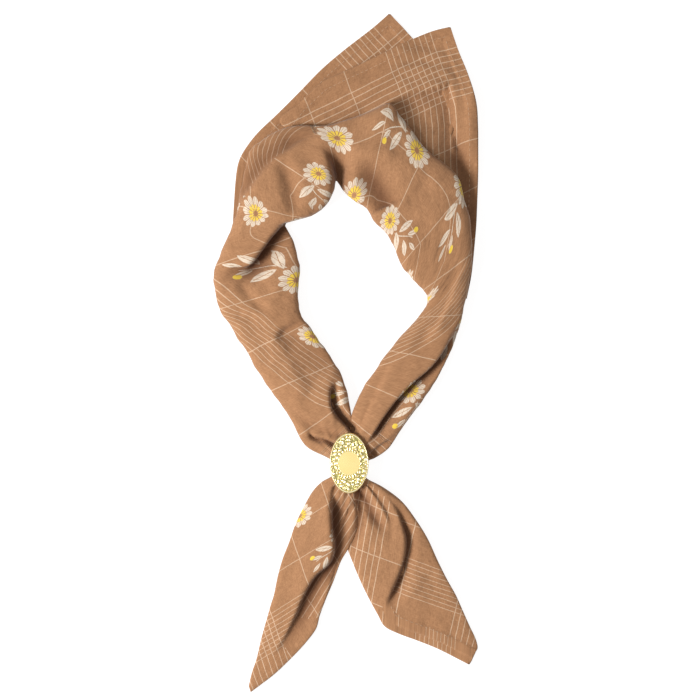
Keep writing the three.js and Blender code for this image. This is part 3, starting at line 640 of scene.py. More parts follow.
def roll_grid(step, start, end, groups, guard=0.0):
    """Part of the roll as a grid of points, with walked distances, row numbers and shade.

    With a guard the part stays under every fold near it, and leans nowhere.
    """
    rows = roll_rows()
    stops = row_stops((rows[:, 0:2] + rows[:, 2:4]) / 2, step)
    fine = uneven_edges(through(rows, stops))
    outer, inner = fine[:, None, 0:2], fine[:, None, 2:4]
    width = np.linalg.norm(inner - outer, axis=2)[:, 0]
    height = np.maximum(2 * PLY + PLY_GAP, fine[:, 4])
    lift = np.maximum(0.0, fine[:, 5])
    sections = [wound_section(w, h, start, end, groups) for w, h in zip(width, height)]
    across, up, walked = (np.array(part) for part in zip(*sections))
    xy = outer + (across / width[:, None])[:, :, None] * (inner - outer)
    points = xy.reshape(-1, 2)
    relief, lean, shade = roll_relief(points)
    least = LEAST_SQUEEZE
    if guard:
        relief, lean = lowest_relief(points, relief, guard), np.zeros_like(lean)
        least = INNER_SQUEEZE
    squeeze = np.clip(1 + relief.reshape(up.shape) / height[:, None], least, MOST_SQUEEZE)
    level = up / height[:, None]
    xy = xy + lean.reshape(xy.shape) * level[:, :, None] ** 2
    z = lift[:, None] + PLY / 2 + (up - PLY / 2) * squeeze
    step_down = hem_step(xy.reshape(-1, 2)).reshape(z.shape)
    z = z + np.maximum(step_down, -HEM_STEP_LIMIT * (height[:, None] - 2 * PLY)) * level
    hold = under_plate(xy.reshape(-1, 2)).reshape(z.shape)
    z = mix(z, np.minimum(z, CLOTH_CEILING - PLY / 2), hold)
    return np.concatenate([xy, z[:, :, None]], axis=2), walked, stops, shade.reshape(up.shape) * level


# The right tail ends in two hems, the upper one set back from the lower
UPPER_HEM_SETBACK = 0.0050
HEM_STEP_HEIGHT = 0.0012
HEM_STEP_LIMIT = 0.35
HEM_STEP_HALF = 0.0004
HEM_STEP_REACH = 0.03
HEM_STEP_DROP = 0.5
HEM_STEP_SIDES = (0.14, 0.22)
DOUBLED_EDGE = 0.0005


def tail_hem():
    return np.array([tail_point(row[2], row[3]) for row in RIGHT_TAIL[8:]])


def hem_step(xy):
    """The step between the two hems, and the upper hem's doubled cloth."""
    distance = edge_distance(tail_hem(), xy)
    on_upper = smooth(UPPER_HEM_SETBACK - HEM_STEP_HALF, UPPER_HEM_SETBACK + HEM_STEP_HALF, distance)
    doubled = smooth(UPPER_HEM_SETBACK + HEM_WIDTH + DOUBLED_EDGE, UPPER_HEM_SETBACK + HEM_WIDTH, distance)
    step = HEM_STEP_HEIGHT * (on_upper - 1) + HEM_EXTRA * on_upper * doubled
    in_tail = smooth(0.0, HEM_STEP_DROP, (LOOP_BOTTOM_Y - xy[:, 1]) / TAIL_DROP)
    left, right = (tail_point(side, 0)[0] for side in HEM_STEP_SIDES)
    in_tail = in_tail * smooth(left, right, xy[:, 0])
    return step * in_tail * (distance < HEM_STEP_REACH)


# The loose corners

# The line that the upper corner's print starts from, straighter than its own left hem
UPPER_PRINT_EDGE = [
    (0.381, 0.969), (0.305, 0.958), (0.243, 0.943), (0.145, 0.915), (-0.016, 0.867), (-0.260, 0.795),
]
HEM_RUN_ON = 8
HEM_EDGE = 0.0006
CORNER_CROWDING = 0.8
CLIMB_FROM = 0.5
CLIMB_TO = 0.95
SEAM_OFF_ROLL = 0.0005
ROOT_FREE = 0.05
SHORTEST_SEAM = 4


def hem_line(table, side):
    """The free part of a corner's hem, carried straight on under the roll."""
    column = 0 if side == "left" else 2
    all_free = (table is UNDER_CORNER) == (side == "left")
    free = [row for row in table if all_free or row[4] == 0]
    points = np.array([neck_point(row[column], row[column + 1]) for row in free])
    return np.vstack([points, points[-1] + HEM_RUN_ON * (points[-1] - points[-2])])


roll_edge = np.array([neck_point(row[0], row[1]) for row in NECK[11:35]])


def corner_rows(table):
    left = np.array([neck_point(row[0], row[1]) for row in table])
    right = np.array([neck_point(row[2], row[3]) for row in table])
    root = np.array([row[4] for row in table], float)
    stops = row_stops((left + right) / 2, CORNER_ROW_STEP)
    return through(left, stops), through(right, stops), np.interp(stops, range(len(root)), root)


def corner_grids(table, root_side, level_at, wave_at):
    """Upper and lower face of a loose corner, each point's distance from both hems, and its seams."""
    left, right, root = corner_rows(table)
    left_hem, right_hem = hem_line(table, "left"), hem_line(table, "right")
    print_guide = left_hem
    if table is UPPER_CORNER:
        print_guide = np.array([neck_point(*point) for point in UPPER_PRINT_EDGE])
    hidden_side = "right" if root_side == 1 else "left"
    stops = np.linspace(0, 1, CORNER_STEPS)
    stops = 0.5 - 0.5 * power(1 - 2 * stops, CORNER_CROWDING)
    top, bottom, hems = [], [], []
    seams = {"left": [], "right": []}
    for start, end, climb_share in zip(left, right, root):
        xy = start + stops[:, None] * (end - start)
        from_root = stops if root_side == 1 else 1 - stops
        climb = climb_share * smooth(CLIMB_FROM, CLIMB_TO, from_root)
        to_left = edge_distance(left_hem, xy)
        to_right = edge_distance(right_hem, xy)
        hemmed = np.maximum(smooth(HEM_WIDTH + HEM_EDGE, HEM_WIDTH, to_left),
                            smooth(HEM_WIDTH + HEM_EDGE, HEM_WIDTH, to_right) * (1 - climb_share))
        low = mix(level_at(xy) + wave_at(xy), ROLL_LIFT - PLY / 3, climb)
        thickness = PLY + HEM_EXTRA * hemmed * (1 - climb)
        top.append(np.column_stack([xy, low + thickness]))
        bottom.append(np.column_stack([xy, low]))
        for side, distance, order in (("left", to_left, 1), ("right", to_right, -1)):
            if distance.max() > 2 * SEAM_INSET and (climb_share < ROOT_FREE or side != hidden_side):
                share = np.interp(SEAM_INSET, distance[::order], stops[::order])
                place = np.array([np.interp(share, stops, column) for column in top[-1].T])
                if signed_distance(roll_edge, place[None, :2])[0] > SEAM_OFF_ROLL:
                    seams[side].append(place)
        hems.append(np.column_stack([edge_distance(print_guide, xy), to_right]))
    return np.array(top), np.array(bottom), np.array(hems), seams


def corner_relief(xy):
    """Height and shade that the loose corner's own folds give."""
    height, shade = np.zeros(len(xy)), np.zeros(len(xy))
    for fold, line in corner_folds:
        more_height, _, more_shade = fold_effect(fold, line, xy)
        height += more_height
        shade = np.maximum(shade, more_shade)
    return height, shade


def share_of_neck(xy):
    return (xy[:, 0] - PLATE_X) / SPREAD, (xy[:, 1] - LOOP_TOP_Y) / NECK_RISE


# The under corner: a ridge beside its left hem, and unrest, both where it lies clear of the roll
UNDER_RIDGE = 0.0014
UNDER_RIDGE_AT = 0.0125
UNDER_RIDGE_WIDTH = 0.0032
UNDER_UNREST = 0.0005


def under_wave(xy):
    rise = share_of_neck(xy)[1]
    inside_hem = edge_distance(hem_line(UNDER_CORNER, "left"), xy)
    ridge = UNDER_RIDGE * bump_at(inside_hem, UNDER_RIDGE_AT, UNDER_RIDGE_WIDTH) * smooth(0.72, 0.80, rise)
    return (ridge + UNDER_UNREST * (1 + ripples(xy, 0.045, 11))) * smooth(0.55, 0.8, rise)


UPPER_LOWEST = 0.0004
LEVEL_FROM = -0.002
LEVEL_TO = 0.014


def upper_level(xy):
    """The upper corner lies on the under one, and comes down to the table past its right hem."""
    hem = np.array([neck_point(row[2], row[3]) for row in UNDER_CORNER[:7]])
    return mix(UPPER_LOWEST, UPPER_LEVEL, smooth(LEVEL_FROM, LEVEL_TO, -signed_distance(hem, xy)))


# The upper corner: how it stands up beside the roll, in a ridge at the right, where it hugs the
# roll, in a low fan at the left, and in its unrest
BESIDE_SWELL = 0.0034
SIDE_RIDGE = 0.0022
SIDE_RIDGE_AT = 0.447
SIDE_RIDGE_WIDTH = 0.030
SIDE_RIDGE_DRIFT = 0.02
ROLL_HUG = 0.0028
HUG_OUTSIDE = 0.0070
HUG_INSIDE = 0.0028
FAN_HEIGHT = 0.0010
FAN_SLOPE = 0.55
FAN_AT = 0.78
FAN_WIDTH = 0.02
UPPER_UNREST = 0.0005
UPPER_FINE_UNREST = 0.00012


def upper_wave(xy):
    """The upper corner falls away beside the roll, and stands up again in a soft ridge."""
    side, rise = share_of_neck(xy)
    beside_roll = smooth(0.42, 0.60, rise) * smooth(0.93, 0.80, rise)
    drift = SIDE_RIDGE_DRIFT * np.sin(9 * rise)
    swell = BESIDE_SWELL + SIDE_RIDGE * bump_at(side, SIDE_RIDGE_AT + drift, SIDE_RIDGE_WIDTH)
    past_roll = signed_distance(roll_edge, xy)
    hug = np.where(past_roll > 0, bump_at(past_roll, 0, HUG_OUTSIDE), bump_at(past_roll, 0, HUG_INSIDE))
    swell = swell + ROLL_HUG * hug * smooth(0.0, 0.16, side)
    fan = FAN_HEIGHT * bump_at(rise - FAN_SLOPE * side, FAN_AT, FAN_WIDTH) * smooth(0.30, 0.1, side)
    unrest = UPPER_UNREST * (1 + ripples(xy, 0.04, 12)) + UPPER_FINE_UNREST * (1 + ripples(xy, 0.012, 13))
    return np.maximum(swell * beside_roll + fan + unrest + corner_relief(xy)[0], 0)


# Meshes from grids
def sheet_faces(rows, steps, base):
    """Faces of a closed wall whose front and back are grids of the same size."""
    index = base + np.arange(2 * rows * steps).reshape(2, rows, steps)
    front, back = index

    def quads(a, b, c, d):
        return np.stack([a, b, c, d], axis=-1).reshape(-1, 4)

    return np.concatenate([
        quads(front[:-1, :-1], front[1:, :-1], front[1:, 1:], front[:-1, 1:]),
        quads(back[:-1, :-1], back[:-1, 1:], back[1:, 1:], back[1:, :-1]),
        quads(front[:-1, 0], back[:-1, 0], back[1:, 0], front[1:, 0]),
        quads(front[:-1, -1], front[1:, -1], back[1:, -1], back[:-1, -1]),
        quads(front[0, :-1], front[0, 1:], back[0, 1:], back[0, :-1]),
        quads(front[-1, :-1], back[-1, :-1], back[-1, 1:], front[-1, 1:]),
    ])


def add_object(name, data):
    piece = bpy.data.objects.new(name, data)
    bpy.context.scene.collection.objects.link(piece)
    return piece


def point_values(mesh, name, values):
    layer = mesh.attributes.new(name, "FLOAT", "POINT")
    layer.data.foreach_set("value", np.clip(values, 0, 1).astype(np.float32))


def mesh_object(name, vertices, faces, smooth_shaded=True):
    mesh = bpy.data.meshes.new(name)
    mesh.vertices.add(len(vertices))
    mesh.vertices.foreach_set("co", np.asarray(vertices, np.float32).ravel())
    mesh.loops.add(faces.size)
    mesh.loops.foreach_set("vertex_index", faces.ravel().astype(np.int32))
    mesh.polygons.add(len(faces))
    mesh.polygons.foreach_set("loop_start", np.arange(0, faces.size, faces.shape[1], dtype=np.int32))
    mesh.update(calc_edges=True)
    mesh.polygons.foreach_set("use_smooth", np.full(len(faces), smooth_shaded))
    mesh.update()
    return add_object(name, mesh)


def lay_cut_map(piece, cuts):
    """The cloth's own flat coordinates, in metres from two hems, one pair for each face corner."""
    layer = piece.data.uv_layers.new(name="cut")
    layer.data.foreach_set("uv", np.asarray(cuts, np.float32).ravel())


# Where the printed lines start beside a hem, how far apart they lie, and the wide pane after them
LINE_START = 0.014
LINE_STEP = 0.0040
LINE_COUNT = 9
PANE_STEP = 0.030
LINE_WIDTH = 0.00050
BAND_EDGE = 0.0002
LINE_END = LINE_START + (LINE_COUNT - 1) * LINE_STEP

# How far the outer and the inner edge of the roll's top lie from the cloth's hem, in millimetres,
# at some of the sections
HEM_ROWS = [
    (16, 90, 50), (18, -14, 8), (19, -10, 20), (20, -8, 34), (21, -5, 46), (22, 0, 58),
    (23, 5, 66), (24.5, 15, 72), (26, 31, 76), (28, 48, 80), (30, 56, 104), (33, 69, 130),
    (36, 69, 122), (40, 58, 104), (44, 62, 122), (48, 60, 126), (50, 47, 104), (51, 32, 80),
    (52, 19, 62), (53, 8, 50), (54, 1, 39), (55, -5, 27), (56, -9, 15), (57, -12, 6),
    (58, -14, -2), (61, -18, -10), (64, 50, 60),
]
TAIL_START_ROW = 15.5
TAIL_END_ROW = 62.5
SHOULDER_ROWS = (28.5, 37.6)
SHOULDER_LINES = (33.3, 36.9)
SHOULDER_SLANT = 1.1
SHOULDER_SHIFT = 0.006
LEFT_LOBE_END_ROW = 23
RIGHT_LOBE_START_ROW = 50
SLIDE_ROW = 62
LOBE_STRETCH = 0.8
LOBE_MARGIN = 0.002
LOBE_BREAK = 0.024
LOBE_SHIFTS = (0.006, 0.051)
# Places on the cut that a patch starts from: beside the hem, where nothing is printed, on the
# first single line, and in the panes
NO_PRINT = 0.005
SINGLE_LINE = 0.076
SHOULDER_PANE = 0.108
LOBE_PANE = 0.063
LOWER_PANE = 0.049
# Bounds of the patches of the tails, the places of their first lines, and the spacing there
BEHIND_FROM = 0.0012
LOW_TAIL = 0.66
LOW_STRETCH = 0.5
BEHIND_FIRST = 0.012
TIP_STRETCH = 1.45
TIP_FIRST = 0.013
SIDE_FIRST = 0.0284
SIDE_STRETCH = 0.79
HEM_STRETCH = 1.38
FRONT_FIRST = 0.013
STRIP_SIDE = 0.13
UPPER_STRIP_STRETCH = 1.63
LOWER_STRIP_STRETCH = 1.35
LOWER_STRIP_SHIFT = 0.0026


def straight(start, end, reach=3.0):
    """A long straight line through two points."""
    start, end = np.array(start), np.array(end)
    return np.array([start - reach * (end - start), end + reach * (end - start)])


def tail_line(start, end):
    return straight(tail_point(*start), tail_point(*end))


def neck_cuts(walked, run, stops, top_length):
    table = np.array(HEM_ROWS, float)
    at_outer = np.interp(stops, table[:, 0], table[:, 1]) * MM
    at_inner = np.interp(stops, table[:, 0], table[:, 2]) * MM
    return np.stack([at_outer + walked / top_length * (at_inner - at_outer), run], axis=-1)


def make_cuts(xy, walked, run, stops, top_length, middle):
    """The flat coordinates of each face corner, in the patch that its face's middle lies in."""
    cuts = neck_cuts(walked, run, stops, top_length)
    lines = {name: line for name, (fold, line) in folds.items()}

    def patch(where, across, down):
        cuts[where, 0] = across[where]
        cuts[where, 1] = down[where]

    def beyond(name):
        return signed_distance(lines[name], middle) > 0

    in_neck = (stops > TAIL_START_ROW) & (stops < TAIL_END_ROW)

    # Outside the shoulder's ridge the fine lines run down the slope
    outside = in_neck & (stops > SHOULDER_ROWS[0]) & (stops < SHOULDER_ROWS[1]) & beyond("shoulder")
    first, last = run_at(SHOULDER_LINES[0]), run_at(SHOULDER_LINES[1])
    on_slope = (run - first) * (LINE_END - LINE_START) / (last - first)
    patch(outside, SHOULDER_PANE + LOBE_STRETCH * walked,
          LINE_START + on_slope + SHOULDER_SLANT * walked - SHOULDER_SHIFT)
    # The lobes inside the grooves beside the slide
    past_lobe_line = middle[:, 0] > lines["left_lobe"][:, 0].min() - LOBE_MARGIN
    inner_lobe = in_neck & (stops < LEFT_LOBE_END_ROW) & beyond("left_lobe") & past_lobe_line
    patch(inner_lobe, SINGLE_LINE + walked * LOBE_STRETCH, run + PANE_STEP)
    lower_lobe = in_neck & (stops > RIGHT_LOBE_START_ROW) & beyond("right_lobe")
    from_slide = run_at(SLIDE_ROW) - run
    patch(lower_lobe, LOBE_PANE + walked, from_slide + np.where(from_slide < LOBE_BREAK, *LOBE_SHIFTS))

    # Left tail: a cross of fine lines at the tip, and lines along the lobe behind the valley
    in_left_tail = stops <= TAIL_START_ROW
    tip_edge = tail_line((-0.375, 0.985), (-0.227, 0.873))
    band_end = tail_line((-0.300, 0.623), (-0.230, 0.859))
    behind = in_left_tail & beyond("left_tail_valley") & (signed_distance(band_end, middle) > BEHIND_FROM)
    front = in_left_tail & ~behind
    patch(front, LINE_START + TIP_STRETCH * (edge_distance(tip_edge, xy) - TIP_FIRST),
          LINE_END + signed_distance(band_end, xy))
    from_lobe = edge_distance(tail_line((-0.006, 0.400), (-0.128, 0.640)), xy)
    past_cross = signed_distance(tail_line((-0.162, 0.563), (-0.113, 0.654)), xy)
    patch(behind, BEHIND_FIRST + from_lobe, SINGLE_LINE + past_cross)
    low = (LOOP_BOTTOM_Y - middle[:, 1]) / TAIL_DROP > LOW_TAIL
    patch(behind & low, LOWER_PANE + LOW_STRETCH * from_lobe, SINGLE_LINE + past_cross)

    # Right tail: lines beside the hem, lines down the front lobe, and the two hems
    in_right_tail = stops >= TAIL_END_ROW
    from_side = -signed_distance(tail_line((0.596, 0.127), (0.4627, 0.8545)), xy)
    band = LINE_END - SIDE_FIRST
    from_side = np.where(from_side < band, from_side, band + SIDE_STRETCH * (from_side - band))
    from_hem_guide = signed_distance(tail_line((0.185, 0.541), (0.4085, 0.6364)), xy)
    patch(in_right_tail, SIDE_FIRST + from_side, LINE_START + HEM_STRETCH * from_hem_guide)
    front_lobe = in_right_tail & (signed_distance(lines["right_tail_lobe"], middle) < 0)
    past_down_line = signed_distance(tail_line((0.1587, 0.127), (0.098, 0.536)), xy)
    past_cross_line = signed_distance(tail_line((0.013, 0.336), (0.174, 0.409)), xy)
    patch(front_lobe, FRONT_FIRST - past_down_line, SINGLE_LINE + past_cross_line)
    from_strip = -signed_distance(tail_line((0.4087, 0.600), (0.395, 0.900)), xy)
    from_hem = edge_distance(tail_hem(), middle)
    plain = np.full(len(xy), NO_PRINT)
    past_fold = middle[:, 0] > tail_point(STRIP_SIDE, 0)[0]
    upper_strip = in_right_tail & (from_hem < UPPER_HEM_SETBACK + HEM_WIDTH) & past_fold
    patch(upper_strip, LINE_START + UPPER_STRIP_STRETCH * from_strip, plain)
    lower_strip = in_right_tail & (from_hem < UPPER_HEM_SETBACK)
    patch(lower_strip, LINE_START + LOWER_STRIP_STRETCH * (from_strip - LOWER_STRIP_SHIFT), plain)
    return cuts


def run_at(row):
    """Distance along the roll at a row of its tables."""
    rows = roll_rows()
    middles = (rows[:, 0:2] + rows[:, 2:4]) / 2
    along = np.concatenate([[0], np.cumsum(np.linalg.norm(np.diff(middles, axis=0), axis=1))])
    return np.interp(row, range(len(along)), along)


SEAM_STEPS = 40
SEAM_INSIDE = 0.0008
SEAM_NEAR = 0.0016
SEAM_DROP = 0.3


def tail_seam(face):
    """The seam that holds the right tail's upper hem, along the tail's lower edge."""
    hem = tail_hem()[:-1]
    hem = through(hem, np.linspace(0, len(hem) - 1, SEAM_STEPS))
    run = np.gradient(hem, axis=0)
    away = np.column_stack([-run[:, 1], run[:, 0]]) / np.linalg.norm(run, axis=1)[:, None]
    line = hem + away * (UPPER_HEM_SETBACK + HEM_WIDTH - SEAM_INSIDE)
    points = face.reshape(-1, 3)
    points = points[points[:, 1] < LOOP_BOTTOM_Y - SEAM_DROP * TAIL_DROP]
    seam = []
    for place in line:
        near = points[np.linalg.norm(points[:, :2] - place, axis=1) < SEAM_NEAR]
        if len(near):
            seam.append([*place, near[:, 2].max()])
    return seam


# Angles round the roll's section: where the visible cloth starts under the roll, where its top
# ends, where it ends out of sight, and the same for the turns inside
VISIBLE_START = 0.42 * math.pi
TOP_END = 1.97 * math.pi
VISIBLE_END = 2.10 * math.pi
END_STEPS = 4
INNER_START = 2.02 * math.pi
INNER_END = 8 * math.pi
INNER_SINK = 0.90


def visible_cuts(points, faces, walked, stops):
    """Flat coordinates of the visible part of the roll, face corner by face corner."""
    top_length = walked[:, UNDER_STEPS + TOP_STEPS]
    flat = faces.ravel()
    row = np.tile(np.repeat(np.arange(len(stops)), walked.shape[1]), 2)[flat]
    middle = np.repeat(points[faces].mean(axis=1)[:, :2], 4, axis=0)
    return make_cuts(points[flat, :2], np.tile(walked.ravel(), 2)[flat], run_at(stops)[row],
                     stops[row], top_length[row], middle)


def make_kerchief():
    """The whole cloth as one mesh, and the lines of its seams."""
    visible, walked, stops, shade = roll_grid(
        SECTION_STEP, VISIBLE_START, VISIBLE_END,
        [(math.pi, UNDER_STEPS), (TOP_END, TOP_STEPS), (VISIBLE_END, END_STEPS)])
    hidden = roll_grid(
        INNER_SECTION_STEP, INNER_START, INNER_END,
        [(INNER_END, INNER_STEPS)], INNER_GUARD)[0]
    hidden[:, :, 2] = np.maximum(hidden[:, :, 2] * INNER_SINK, PLY)
    points, faces = [], []
    count = 0

    def add_wall(front, back):
        nonlocal count
        faces.append(sheet_faces(*front.shape[:2], count))
        points.extend([front.reshape(-1, 3), back.reshape(-1, 3)])
        count += 2 * front.shape[0] * front.shape[1]

    for grid in (visible, hidden):
        add_wall(grid, grid - grid_normals(grid) * PLY)
    cuts = [visible_cuts(np.concatenate(points[:2]), faces[0], walked, stops),
            np.full((faces[1].size, 2), NO_PRINT)]
    # Painted shade of the deep folds, one value for each point of the cloth
    painted_fold_shade = [shade.ravel(), shade.ravel(), np.zeros(2 * hidden.shape[0] * hidden.shape[1])]
    seam_lines = [tail_seam(visible)]
    for table, root_side, level, wave in (
        (UNDER_CORNER, 1, lambda xy: np.zeros(len(xy)), under_wave),
        (UPPER_CORNER, 0, upper_level, upper_wave),
    ):
        top, bottom, hems, seams = corner_grids(table, root_side, level, wave)
        before = count
        add_wall(top, bottom)
        cuts.append(np.concatenate([hems.reshape(-1, 2)] * 2)[(faces[-1] - before).ravel()])
        # Painted shade of the upper corner's own folds
        corner_shade = corner_relief(top.reshape(-1, 3)[:, :2])[1] * (table is UPPER_CORNER)
        painted_fold_shade += [corner_shade, corner_shade]
        seam_lines += [line for line in seams.values() if len(line) > SHORTEST_SEAM]
    piece = mesh_object("kerchief_cloth", np.concatenate(points), np.concatenate(faces))
    lay_cut_map(piece, np.concatenate(cuts))
    point_values(piece.data, "painted_fold_shade", np.concatenate(painted_fold_shade))
    return piece, seam_lines


# Materials
class Wire:
    """A number or colour on its way through a material, with sums written as sums."""

    def __init__(self, tree, socket):
        self.tree = tree
        self.socket = socket

    def math(self, operation, *others, clamp=False):
        node = self.tree.nodes.new("ShaderNodeMath")
        node.operation = operation
        node.use_clamp = clamp
        for index, value in enumerate((self, *others)):
            connect(self.tree, value, node.inputs[index])
        return Wire(self.tree, node.outputs[0])

    def __add__(self, other):
        return self.math("ADD", other)

    def __sub__(self, other):
        return self.math("SUBTRACT", other)

    def __mul__(self, other):
        return self.math("MULTIPLY", other)

    def __truediv__(self, other):
        return self.math("DIVIDE", other)

    def below(self, edge, soft):
        """1 under the edge, 0 above it, with a soft step."""
        node = self.tree.nodes.new("ShaderNodeMapRange")
        node.interpolation_type = "SMOOTHSTEP"
        connect(self.tree, self, node.inputs["Value"])
        connect(self.tree, edge - soft / 2, node.inputs["From Min"])
        connect(self.tree, edge + soft / 2, node.inputs["From Max"])
        node.inputs["To Min"].default_value = 1
        node.inputs["To Max"].default_value = 0
        return Wire(self.tree, node.outputs["Result"])


def connect(tree, value, socket):
    if isinstance(value, Wire):
        tree.links.new(value.socket, socket)
    else:
        socket.default_value = value


def new_material(name):
    material = bpy.data.materials.new(name)
    material.use_nodes = True
    tree = material.node_tree
    return material, tree, tree.nodes["Principled BSDF"]


def blend(tree, share, low, high):
    node = tree.nodes.new("ShaderNodeMix")
    node.data_type = "RGBA"
    connect(tree, share, node.inputs["Factor"])
    connect(tree, low, node.inputs["A"])
    connect(tree, high, node.inputs["B"])
    return Wire(tree, node.outputs["Result"])


# A colour multiplied by a painted shade colour
def with_painted_shade(tree, colour, painted_shade_factor):
    shaded = blend(tree, 1.0, colour, painted_shade_factor)
    shaded.socket.node.blend_type = "MULTIPLY"
    return shaded


def noise(tree, vector, scale, detail=2.0, roughness=0.5):
    node = tree.nodes.new("ShaderNodeTexNoise")
    connect(tree, vector, node.inputs["Vector"])
    node.inputs["Scale"].default_value = scale
    node.inputs["Detail"].default_value = detail
    node.inputs["Roughness"].default_value = roughness
    return Wire(tree, node.outputs["Fac"])


def stretched(tree, vector, scale):
    node = tree.nodes.new("ShaderNodeMapping")
    connect(tree, vector, node.inputs["Vector"])
    node.inputs["Scale"].default_value = scale
    return Wire(tree, node.outputs["Vector"])


def joined(tree, x, y, z=0.0):
    node = tree.nodes.new("ShaderNodeCombineXYZ")
    for index, value in enumerate((x, y, z)):
        connect(tree, value, node.inputs[index])
    return Wire(tree, node.outputs[0])


def attribute(tree, name):
    node = tree.nodes.new("ShaderNodeAttribute")
    node.attribute_name = name
    return Wire(tree, node.outputs["Fac"])


def place_on_object(tree):
    return Wire(tree, tree.nodes.new("ShaderNodeTexCoord").outputs["Object"])


def within_one(value):
    return value.math("ADD", 0.0, clamp=True)


def roughen(tree, shader, height, strength, distance):
    """Relief too fine for the mesh."""
    bump = tree.nodes.new("ShaderNodeBump")
    bump.inputs["Strength"].default_value = strength
    bump.inputs["Distance"].default_value = distance
    connect(tree, height, bump.inputs["Height"])
    tree.links.new(bump.outputs["Normal"], shader.inputs["Normal"])


def printed_lines(distance):
    """Fine lines beside a hem, then a wide pane of single lines."""
    def to_nearest(start, step):
        within = (distance - (start - step / 2)).math("FLOORED_MODULO", step)
        return (within - step / 2).math("ABSOLUTE")

    fine = to_nearest(LINE_START, LINE_STEP).below(LINE_WIDTH / 2, LINE_WIDTH / 2)
    inside = (distance - (LINE_START + LINE_END) / 2).math("ABSOLUTE")
    fine = fine * inside.below((LINE_END - LINE_START) / 2 + LINE_STEP / 2, BAND_EDGE)
    pane = to_nearest(LINE_END, PANE_STEP).below(LINE_WIDTH / 2, LINE_WIDTH / 2)
    pane = pane * (distance * -1.0).below(-LINE_END + LINE_STEP / 2, BAND_EDGE)
    return fine.math("MAXIMUM", pane)


# The printed motif: a round blossom with a leafy sprig, in rows that step by half a repeat
REPEAT_ACROSS = 0.046
REPEAT_ALONG = 0.050
MOTIF_FROM = 0.060
BLOSSOM_RADIUS = 0.0092
PETALS = 12
PRINT_EDGE = 0.00022
# Leaves of the sprig: place along and beside the stem, lean in degrees, length, width, all in
# millimetres from the middle of the motif
LEAVES = [
    (5.0, -8.5, -66, 14.0, 5.0),
    (9.5, 2.5, 44, 13.0, 4.4),
    (15.0, -9.5, -48, 11.0, 4.0),
    (17.0, 0.5, 30, 8.0, 2.8),
    (21.0, -6.5, -16, 7.5, 2.8),
]
STEM_START = 0.001
STEM_END = 0.0185
STEM_RISE = 0.0012
STEM_WAVE = 260.0
STEM_OFFSET = 0.0030
STEM_EDGE = 0.00018
LEAF_EDGE = 0.16
VEIN_HALF = 0.00016
VEIN_EDGE = 0.0001
VEIN_LENGTH = 0.75
# Parts of the blossom as shares of its radius, its heart as a share of its petals' reach, and
# how round the petals end
PETAL_ROOT = 0.66
PETAL_LENGTH = 0.34
PETAL_ROUNDNESS = 0.55
EYE = 0.17
PUPIL = 0.09
RIBS_FROM = 0.45
HEART = 0.56
STEM_HALF = 0.00026
MOTIF_SHIFT = (0.0040, -0.0020)
BLOSSOM_SHIFT = (0.0060, -0.0035)
BUD_SHIFT = (-0.0190, -0.0030)
BUD_RADIUS = 0.0017
# How far each motif is turned, in radians: by chance, from column to column and from row to row
CHANCE_TURN = 1.6
COLUMN_TURN = 2.2
ROW_TURN = 1.1


def turned(x, y, angle):
    cosine, sine = math.cos(angle), math.sin(angle)
    return x * cosine + y * sine, y * cosine - x * sine


def leaf(x, y, place):
    """Inside and vein of one leaf."""
    middle_x, middle_y, lean, length, width = place
    along, beside = turned(x - middle_x / 1000, y - middle_y / 1000, math.radians(lean))
    beside = beside.math("ABSOLUTE")
    ends = along * (2000 / length)
    inside = (ends * ends + beside * (2000 / width)).below(1.0, LEAF_EDGE)
    vein = beside.below(VEIN_HALF, VEIN_EDGE) * ends.math("ABSOLUTE").below(VEIN_LENGTH, 0.1)
    return inside, vein


def blossom(x, y):
    """Petals, their yellow hearts, and the fine lines and dots that stay open in them."""
    away = (x * x + y * y).math("SQRT")
    turn = y.math("ARCTAN2", x)
    wave = (turn * (PETALS / 2)).math("COSINE").math("ABSOLUTE")
    reach = wave.math("POWER", PETAL_ROUNDNESS) * (BLOSSOM_RADIUS * PETAL_LENGTH)
    reach = reach + BLOSSOM_RADIUS * PETAL_ROOT
    apart = (away * wave * (-2 / PETALS)).below(-0.00024, 0.00016)
    petals = away.below(reach, PRINT_EDGE) * apart
    heart = away.below(reach * HEART, PRINT_EDGE * 2)
    ribs = (turn * (PETALS * 1.5)).math("COSINE").math("ABSOLUTE")
    ribs = (away * ribs * (2 / (3 * PETALS))).below(0.00009, 0.00008)
    ribs = ribs * (away * -1.0).below(-BLOSSOM_RADIUS * RIBS_FROM, 0.001)
    eye = away.below(BLOSSOM_RADIUS * EYE, PRINT_EDGE)
    pupil = away.below(BLOSSOM_RADIUS * PUPIL, PRINT_EDGE)
    return petals, heart, ribs, eye * (pupil * -1.0 + 1.0)


